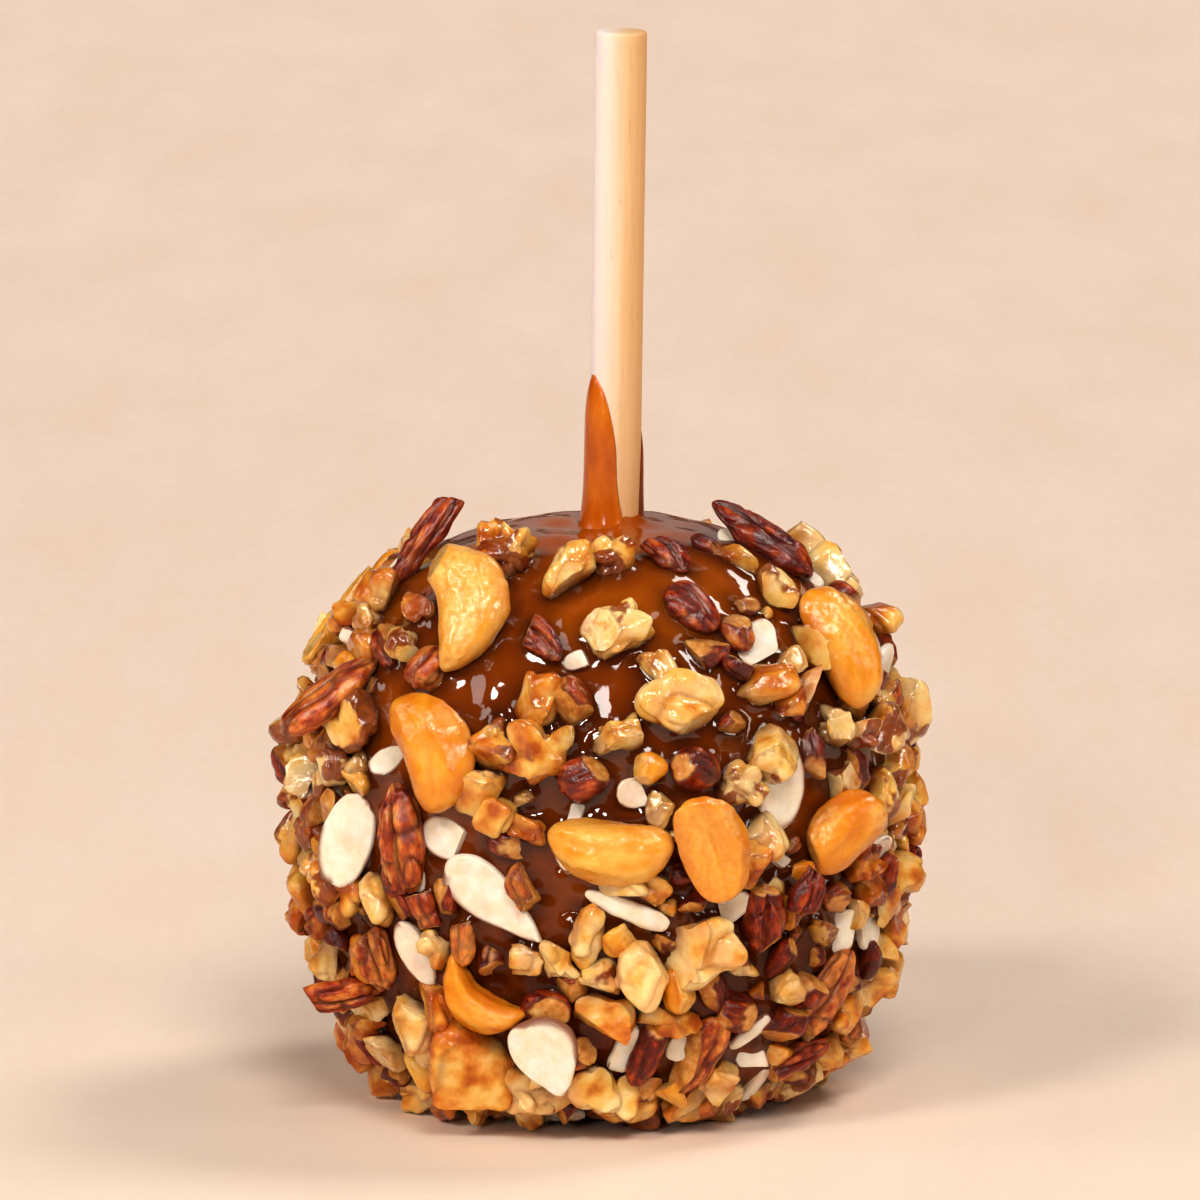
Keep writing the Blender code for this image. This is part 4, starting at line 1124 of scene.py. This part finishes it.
class Look:
    """Builds a Principled material; its settings are the shader's own values, by name."""

    def __init__(self, name, **settings):
        self.material = bpy.data.materials.new(name)
        self.material.use_nodes = True
        self.tree = self.material.node_tree
        self.shader = self.tree.nodes["Principled BSDF"]
        self.fill(self.shader, settings)

    def feed(self, socket, value):
        """Sets a socket to a plain value, or links another node's output to it."""
        if isinstance(value, bpy.types.NodeSocket):
            self.tree.links.new(value, socket)
        else:
            socket.default_value = value

    def fill(self, node, values):
        for key, value in values.items():
            self.feed(node.inputs[key.replace("_", " ")], value)

    def node(self, kind, **values):
        node = self.tree.nodes.new(f"ShaderNode{kind}")
        self.fill(node, values)
        return node

    def attribute(self, name, output="Fac"):
        node = self.node("Attribute")
        node.attribute_name = name
        return node.outputs[output]

    def local(self):
        """The point in the nut's own axes, in millimetres."""
        return self.attribute("local", "Vector")

    def rim(self):
        """1 along the edge of a broken face, 0 elsewhere."""
        value = self.attribute("cut")
        both = self.math("MULTIPLY", value, self.math("SUBTRACT", 1.0, value))
        return self.math("MULTIPLY", both, 4.0, clamp=True)

    def toned(self, value, low, high):
        """A pattern shifted by the tone of each nut."""
        return self.math("ADD", value, self.between(self.attribute("tone"), 0.0, 1.0, low, high))

    def object_point(self):
        return self.node("TexCoord").outputs["Object"]

    def axis(self, name):
        """One coordinate of the object point."""
        return self.node("SeparateXYZ", Vector=self.object_point()).outputs[name]

    def scaled(self, vector, scale):
        return self.node("Mapping", Vector=vector, Scale=scale).outputs["Vector"]

    def noise(self, vector, scale, detail=3.0, roughness=0.55):
        node = self.node("TexNoise", Vector=vector, Scale=scale, Detail=detail, Roughness=roughness)
        return node.outputs["Fac"]

    def math(self, operation, *values, clamp=False):
        node = self.node("Math")
        node.operation = operation
        node.use_clamp = clamp
        for socket, value in zip(node.inputs, values):
            self.feed(socket, value)
        return node.outputs["Value"]

    def between(self, value, low, high, to_low=0.0, to_high=1.0):
        """A value's place between low and high, given as a place between two others."""
        node = self.node("MapRange", Value=value, From_Min=low, From_Max=high, To_Min=to_low, To_Max=to_high)
        return node.outputs["Result"]

    def ramp(self, value, *stops):
        node = self.node("ValToRGB", Fac=value)
        elements = node.color_ramp.elements
        while len(elements) < len(stops):
            elements.new(0.5)
        for element, (position, colour) in zip(elements, stops):
            element.position = position
            element.color = srgb(*colour)
        return node.outputs["Color"]

    def mix(self, share, first, second, blend="MIX"):
        """The first colour where the share is 0, and the second where it is 1."""
        node = self.node("Mix")
        node.data_type = "RGBA"
        node.blend_type = blend
        self.feed(node.inputs["Factor"], share)
        for socket, value in zip(node.inputs[6:8], (first, second)):
            self.feed(socket, srgb(*value) if isinstance(value, tuple) else value)
        return node.outputs[2]

    def tint_marks_and_light(self, colour, share, amount, tint):
        """A colour with some of a tint in it, by a share times an amount; used for the nuts' own marks and
        for painted light and shade.
        """
        return self.mix(self.math("MULTIPLY", share, amount), colour, tint)

    def bump(self, height, distance, strength):
        bumped = self.node("Bump", Height=height, Distance=distance, Strength=strength).outputs["Normal"]
        self.fill(self.shader, {"Normal": bumped, "Coat Normal": bumped})

    def shine(self, weight, cap=1.0):
        """A clear coat that thins toward the foot of the apple, and on its cap."""
        thinned = self.between(self.axis("Z"), DULL_BELOW, SHINY_ABOVE, DULL_SHARE * weight, weight)
        if cap < 1.0:
            on_cap = self.between(self.axis("Z"), CAP_FOOT, CAP_RIM, 1.0, cap)
            thinned = self.math("MULTIPLY", thinned, on_cap)
        self.feed(self.shader.inputs["Coat Weight"], thinned)

    def colour(self, value):
        self.feed(self.shader.inputs["Base Color"], value)

    def roughness(self, value):
        self.feed(self.shader.inputs["Roughness"], value)


CARAMEL_DARK = (118, 48, 1)
CARAMEL_MID = (160, 74, 2)
CARAMEL_THIN = (194, 104, 10)
CARAMEL_POOL_AND_SHADE = (98, 36, 2)       # toward the foot: thicker caramel, and painted shade
CARAMEL_PAINTED_SHADE = (60, 19, 2)     # painted shade close to a nut


def caramel_look():
    look = Look(
        "caramel", Subsurface_Weight=0.10, Subsurface_Scale=0.0012, Subsurface_Radius=(1.0, 0.5, 0.15),
        Coat_Roughness=0.05, Coat_IOR=1.60, IOR=1.20,
    )
    point = look.object_point()
    broad = look.noise(point, 45.0)
    colour = look.ramp(broad, (0.30, CARAMEL_DARK), (0.52, CARAMEL_MID), (0.75, CARAMEL_THIN))
    # Darker toward the foot: thicker caramel pooled there, and partly painted shade where less light falls.
    low = look.between(look.axis("Z"), SHINY_ABOVE, DULL_BELOW, 0.0, 0.5)
    colour = look.mix(low, colour, CARAMEL_POOL_AND_SHADE)
    # Painted shade: the caramel darkens close to the nuts, where they shade it.
    shade = look.between(look.attribute("painted_nut_shade"), 0.05, 0.9, 0.0, 0.85)
    look.colour(look.mix(shade, colour, CARAMEL_PAINTED_SHADE))
    look.shine(0.85, 0.6)
    wet = look.between(look.noise(point, 260.0, 2.0), 0.3, 0.75, 0.05, 0.13)
    look.roughness(look.math("ADD", wet, look.between(look.axis("Z"), CAP_FOOT, CAP_RIM, 0.0, 0.12)))
    lumps = look.between(look.axis("Z"), DULL_BELOW, SHINY_ABOVE, 2.6, 1.0)
    look.bump(look.math("MULTIPLY", look.noise(point, 330.0, 2.0, 0.4), lumps), 0.00022, 0.45)
    return look.material


def tongue_look():
    look = Look(
        "caramel_run", Subsurface_Weight=0.25, Subsurface_Scale=0.0012, Subsurface_Radius=(1.0, 0.4, 0.1),
        Coat_Weight=0.0, IOR=1.46,
    )
    point = look.scaled(look.object_point(), (1.0, 1.0, 0.35))
    streaks = look.noise(point, 300.0)
    look.colour(look.ramp(streaks, (0.3, (186, 84, 2)), (0.55, (212, 112, 8)), (0.8, (234, 140, 22))))
    look.roughness(look.between(streaks, 0.3, 0.7, 0.14, 0.28))
    look.bump(look.noise(look.object_point(), 600.0, 2.0), 0.00004, 0.3)
    return look.material


def wood_look():
    look = Look(
        "birch", Subsurface_Weight=0.06, Subsurface_Scale=0.001, Subsurface_Radius=(1.0, 0.6, 0.3),
    )
    point = look.object_point()
    grain = look.noise(look.scaled(point, (1.0, 1.0, 0.035)), 1500.0, 5.0, 0.62)
    bands = look.noise(look.scaled(point, (1.0, 1.0, 0.02)), 420.0)
    ticks = look.noise(look.scaled(point, (1.0, 1.0, 0.12)), 2600.0, 2.0)
    colour = look.ramp(bands, (0.25, (236, 200, 150)), (0.5, (242, 211, 168)), (0.75, (248, 222, 188)))
    colour = look.mix(look.between(grain, 0.42, 0.75, 0.0, 0.45), colour, (228, 182, 126))
    colour = look.mix(look.between(ticks, 0.62, 0.72, 0.0, 0.4), colour, (204, 150, 96))
    # Painted shade: the stick's right side is a darker orange, as where the key light does not reach.
    painted_shade_side = look.between(look.axis("X"), -0.0010, 0.0036, 0.0, 0.75)
    colour = look.mix(painted_shade_side, colour, (230, 168, 98))
    # Painted light: the stick's left side is near white, as where the key light falls on it.
    painted_light_side = look.between(look.axis("X"), 0.0008, -0.0036, 0.0, 0.9)
    look.colour(look.mix(painted_light_side, colour, (255, 244, 250)))
    look.roughness(look.between(grain, 0.3, 0.7, 0.48, 0.68))
    look.bump(grain, 0.00006, 0.5)
    return look.material


AMBER = (234, 143, 46)
# Dark caramel on a nut's foot, partly painted contact shade.
GLAZE_AND_SHADE = (86, 29, 3)


def glazed_and_shaded(look, colour, amount, film):
    """Caramel on the foot of a nut, which also stands as painted shade where the nut meets the caramel, and
    an amber film in smears over it.
    """
    smear = look.noise(look.object_point(), 230.0)
    wet = look.between(smear, 0.40, 0.70, 0.0, film)
    colour = look.mix(wet, colour, AMBER, "MULTIPLY")
    # The nut's foot darkens: caramel on it, and painted contact shade.
    reach = look.math("MULTIPLY", look.attribute("glaze_and_shade"), look.between(smear, 0.25, 0.75, 0.5, 1.7))
    share = look.math("MULTIPLY", reach, amount, clamp=True)
    return look.mix(share, colour, GLAZE_AND_SHADE)


def cashew_look():
    look = Look(
        "cashew", Subsurface_Weight=0.2, Subsurface_Scale=0.0012, Subsurface_Radius=(1.0, 0.5, 0.15),
        Coat_Roughness=0.06, IOR=1.36,
    )
    look.shine(0.9)
    local = look.local()
    broad = look.toned(look.noise(look.scaled(local, (0.6, 1.0, 1.0)), 0.30), -0.14, 0.14)
    colour = look.ramp(broad, (0.25, (226, 132, 14)), (0.5, (242, 166, 40)), (0.75, (250, 200, 94)))
    mottle = look.between(look.noise(local, 1.4, 4.0), 0.35, 0.65)
    pale = look.mix(mottle, (255, 220, 140), (244, 172, 62))
    colour = look.tint_marks_and_light(colour, look.attribute("cut"), 0.9, pale)
    colour = look.tint_marks_and_light(colour, look.attribute("furrow"), 0.55, (186, 84, 12))
    look.colour(glazed_and_shaded(look, colour, 0.45, 0.15))
    look.roughness(look.between(look.noise(local, 0.8), 0.3, 0.7, 0.22, 0.42))
    look.bump(look.noise(local, 1.6, 4.0), 0.00016, 0.6)
    return look.material


def pecan_look():
    look = Look(
        "pecan", Subsurface_Weight=0.06, Subsurface_Scale=0.001, Subsurface_Radius=(1.0, 0.4, 0.15),
        Coat_Roughness=0.06, IOR=1.34,
    )
    look.shine(0.8)
    local = look.local()
    grain = look.noise(look.scaled(local, (0.5, 1.0, 1.0)), 0.6, 5.0, 0.6)
    mottle = look.toned(look.between(grain, 0.25, 0.75, 0.1, 0.9), -0.24, 0.26)
    skin = look.ramp(
        mottle, (0.22, (92, 16, 4)), (0.40, (148, 42, 12)), (0.58, (202, 92, 30)), (0.80, (236, 154, 72))
    )
    flesh = look.noise(local, 0.8)
    pale = look.ramp(flesh, (0.3, (204, 122, 44)), (0.55, (236, 174, 88)), (0.75, (250, 210, 140)))
    # Darker in the furrows: the skin's own darker colour there, and painted shade.
    colour = look.tint_marks_and_light(skin, look.attribute("furrow"), 0.75, (66, 14, 4))
    colour = look.mix(look.between(look.attribute("cut"), 0.25, 0.8, 0.0, 0.95), colour, pale)
    colour = look.tint_marks_and_light(colour, look.rim(), 0.6, (92, 20, 4))
    look.colour(glazed_and_shaded(look, colour, 0.7, 0.3))
    look.roughness(look.between(look.noise(local, 1.0), 0.3, 0.7, 0.28, 0.55))
    look.bump(look.noise(local, 2.6, 5.0), 0.00012, 0.6)
    return look.material


def walnut_look():
    look = Look(
        "walnut", Subsurface_Weight=0.18, Subsurface_Scale=0.0012, Subsurface_Radius=(1.0, 0.55, 0.2),
        Coat_Roughness=0.06, IOR=1.36,
    )
    look.shine(0.9)
    local = look.local()
    broad = look.toned(look.between(look.noise(local, 0.24, 3.0, 0.5), 0.25, 0.75, 0.15, 0.85), 0.30, -0.28)
    colour = look.ramp(
        broad, (0.20, (196, 100, 20)), (0.38, (234, 158, 52)), (0.54, (250, 202, 104)),
        (0.76, (255, 228, 164)),
    )
    colour = look.tint_marks_and_light(colour, look.attribute("furrow"), 0.42, (172, 84, 20))
    patch = look.noise(local, 0.20, 3.0, 0.5)
    chance = look.between(look.attribute("seed"), 0.0, 1.0, 0.36, 0.92)
    edge = look.between(look.math("SUBTRACT", patch, chance), -0.02, 0.02, 0.0, 0.92)
    skin = look.math("MULTIPLY", edge, look.between(look.attribute("cut"), 0.2, 0.7, 1.0, 0.0))
    mottle = look.noise(local, 0.8)
    brown = look.ramp(mottle, (0.3, (112, 40, 10)), (0.55, (154, 72, 22)), (0.75, (190, 104, 40)))
    colour = look.mix(skin, colour, brown)
    specks = look.between(look.noise(local, 2.6, 2.0), 0.74, 0.78, 0.0, 0.8)
    colour = look.mix(specks, colour, (104, 44, 14))
    colour = look.tint_marks_and_light(colour, look.rim(), 0.4, (132, 50, 10))
    look.colour(glazed_and_shaded(look, colour, 0.9, 0.45))
    look.roughness(look.between(look.noise(local, 1.0), 0.3, 0.7, 0.20, 0.42))
    look.bump(look.noise(local, 1.4), 0.00010, 0.5)
    return look.material


def almond_look():
    look = Look(
        "almond", Subsurface_Weight=0.3, Subsurface_Scale=0.0012, Subsurface_Radius=(1.0, 0.7, 0.4),
        Coat_Weight=0.25, Coat_Roughness=0.06, IOR=1.46,
    )
    local = look.local()
    broad = look.noise(local, 0.5)
    colour = look.ramp(broad, (0.3, (250, 234, 206)), (0.6, (255, 248, 234)), (0.8, (255, 253, 246)))
    specks = look.between(look.noise(local, 2.4, 2.0), 0.72, 0.77, 0.0, 0.6)
    colour = look.mix(specks, colour, (150, 96, 50))
    colour = look.tint_marks_and_light(colour, look.attribute("cut"), 0.9, (136, 68, 28))
    look.colour(glazed_and_shaded(look, colour, 0.12, 0.25))
    look.roughness(look.between(broad, 0.3, 0.7, 0.35, 0.55))
    look.bump(look.noise(local, 1.8, 4.0), 0.00006, 0.4)
    return look.material


def skin_look():
    look = Look("nut_skin", Coat_Weight=0.5, Coat_Roughness=0.06, IOR=1.46)
    local = look.local()
    mottle = look.noise(local, 0.9, 4.0)
    look.colour(look.ramp(mottle, (0.3, (58, 18, 8)), (0.55, (96, 36, 14)), (0.8, (140, 66, 28))))
    look.roughness(look.between(mottle, 0.3, 0.7, 0.3, 0.5))
    look.bump(look.noise(local, 2.4, 4.0), 0.0001, 0.6)
    return look.material


def paper_look():
    look = Look("pale_paper", Roughness=0.95)
    point = look.object_point()
    blotch = look.noise(look.scaled(point, (1.0, 0.25, 1.0)), 36.0, 4.0, 0.6)
    fibre = look.noise(look.scaled(point, (1.0, 0.3, 1.0)), 500.0)
    colour = look.ramp(blotch, (0.3, (242, 219, 204)), (0.7, (247, 226, 212)))
    colour = look.mix(look.between(fibre, 0.3, 0.7, 0.0, 0.10), colour, (218, 192, 170))
    # Painted light: the floor grows paler toward the front, a pool of light laid into its colour.
    front = look.between(look.axis("Y"), 0.15, -0.20)
    look.colour(look.tint_marks_and_light(colour, front, 0.85, (251, 237, 220)))
    look.bump(blotch, 0.0003, 0.15)
    return look.material


# ============================ stage ==========================================

VIEW_ELEVATION = math.radians(10.0)
VIEW_DISTANCE = 1.45
VIEW_LENS = 306.0
VIEW_SENSOR = 36.0
VIEW_TARGET = (0.0, 0.0, 0.0712)
VIEW_GAMMA = 0.85
SPOT_PLACE = (0.0, -0.36, 1.2)
SPOT_SPREAD = math.radians(80.0)
SPOT_SIZE = 0.15
SPOT_ENERGY = 3.2
FLOOR_REACH = 6.0
FLOOR_LEVEL = -0.02 * MM
WARM = (1.0, 0.96, 0.90)
SURROUND = (1.0, 0.93, 0.86, 1.0)
SURROUND_STRENGTH = 0.045


def look_at(item, target):
    direction = Vector(target) - item.location
    item.rotation_euler = direction.to_track_quat("-Z", "Y").to_euler()


def build_camera():
    camera = bpy.data.objects.new("camera", bpy.data.cameras.new("camera"))
    camera.data.lens = VIEW_LENS
    camera.data.sensor_width = VIEW_SENSOR
    camera.data.clip_start = 0.05
    camera.data.clip_end = 60.0
    offset = Vector((0.0, -math.cos(VIEW_ELEVATION), math.sin(VIEW_ELEVATION))) * VIEW_DISTANCE
    camera.location = Vector(VIEW_TARGET) + offset
    look_at(camera, VIEW_TARGET)
    bpy.context.scene.collection.objects.link(camera)
    bpy.context.scene.camera = camera


LIGHTS = (
    # name, azimuth, elevation, apparent width in degrees, strength, colour
    ("key", -41.0, 40.0, 13.0, 1.05, (1.0, 0.94, 0.85)),
    ("side_left", -80.0, 26.0, 22.0, 0.45, WARM),
    ("front_top", 12.0, 45.0, 21.0, 1.50, (1.0, 0.97, 0.92)),
    ("right_top", 114.0, 56.0, 18.0, 0.95, (1.0, 0.95, 0.88)),
    ("front_low", -15.0, 18.0, 6.5, 0.45, WARM),
    ("right_low", 62.0, 20.0, 14.0, 0.32, (1.0, 0.94, 0.86)),
    ("behind", 180.0, 26.0, 40.0, 0.16, WARM),
)


def add_lamp(name, kind, strength, colour, place):
    data = bpy.data.lights.new(name, kind)
    data.energy = strength
    data.color = colour
    lamp = bpy.data.objects.new(name, data)
    lamp.location = place
    bpy.context.scene.collection.objects.link(lamp)
    return lamp


def build_lights():
    for name, azimuth, elevation, spread, strength, colour in LIGHTS:
        bearing, rise = math.radians(azimuth), math.radians(elevation)
        flat = Vector((math.sin(bearing), -math.cos(bearing), 0.0)) * math.cos(rise)
        lamp = add_lamp(name, "SUN", strength, colour, flat + Vector((0, 0, math.sin(rise))))
        lamp.data.angle = math.radians(spread)
        look_at(lamp, (0.0, 0.0, 0.0))
    spot = add_lamp("floor_glow", "SPOT", SPOT_ENERGY, WARM, SPOT_PLACE)
    spot.data.spot_size = SPOT_SPREAD
    spot.data.spot_blend = 1.0
    spot.data.shadow_soft_size = SPOT_SIZE


def build_floor():
    signs = ((-1, -1), (1, -1), (1, 1), (-1, 1))
    corners = np.array([(x * FLOOR_REACH, y * FLOOR_REACH, FLOOR_LEVEL) for x, y in signs])
    floor = make_piece("paper_floor", corners, [(0, 1, 2, 3)], paper_look())


def build_surround():
    world = bpy.data.worlds.new("studio")
    world.use_nodes = True
    world.node_tree.nodes["Background"].inputs["Color"].default_value = SURROUND
    world.node_tree.nodes["Background"].inputs["Strength"].default_value = SURROUND_STRENGTH
    bpy.context.scene.world = world
    bpy.context.scene.view_settings.view_transform = "Standard"
    bpy.context.scene.view_settings.gamma = VIEW_GAMMA


# ============================ putting it together ============================

def lay_nuts():
    """Bunches of large nuts and of bits, and the nodes that each large kind replaces."""
    draw = random.Random(SEED)
    large = {kind: Bunch(f"{kind}s", CRISP[kind]) for kind in LARGE_FORMS}
    bits = {name: Bunch(name, CRISP[look]) for name, look in BIT_LOOKS.items()}
    taken = Laid()
    replaced = add_large_nuts(large, draw, taken)
    add_front_bits(bits, draw, taken)
    for tries, room, scale, heights in ROUND_PASSES:
        add_round_bits(bits, draw, taken, tries, room, scale, heights)
    return large, bits, replaced


def build_nuts():
    """Every nut, and of those the ones that the caramel is drawn up round."""
    looks = {
        "cashew": cashew_look(), "pecan": pecan_look(), "walnut": walnut_look(), "almond": almond_look(),
        "skin": skin_look(),
    }
    large, bits, replaced = lay_nuts()
    steep = []
    for kind, bunch in large.items():
        piece = bunch.build(looks[kind])
        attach(piece, "root")
        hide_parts(*replaced[kind])
        if kind != "almond":
            steep.append(piece)
    for name, bunch in bits.items():
        if bunch.size == 0:
            continue
        kind = BIT_LOOKS[name]
        piece = bunch.build(looks[kind])
        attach(piece, "root")
        if kind != "almond":
            steep.append(piece)
    return steep


def surface_tree(pieces):
    """The surfaces of pieces, to measure distances from."""
    points, faces = [], []
    for piece in pieces:
        start = len(points)
        points.extend(vertex.co for vertex in piece.data.vertices)
        faces.extend(tuple(index + start for index in polygon.vertices) for polygon in piece.data.polygons)
    return BVHTree.FromPolygons(points, faces)


def build_coated_stick(skin):
    stick = build_stick(wood_look())
    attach(stick, "root")
    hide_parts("stick")
    runs = (
        build_run("caramel_tongue", 103.8 * MM, 1.0 * MM, 1.9 * MM, tongue_edges, tongue_look()),
        build_run("caramel_trickle", 95.5 * MM, 0.4 * MM, 0.8 * MM, trickle_edges, skin),
    )
    for piece in runs:
        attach(piece, "root")


def main():
    build_camera()
    build_lights()
    build_floor()
    build_surround()
    nuts = build_nuts()
    skin = caramel_look()
    coat = build_coat(surface_tree(nuts), skin)
    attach(coat, "root")
    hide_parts("coated_apple")
    build_coated_stick(skin)


main()
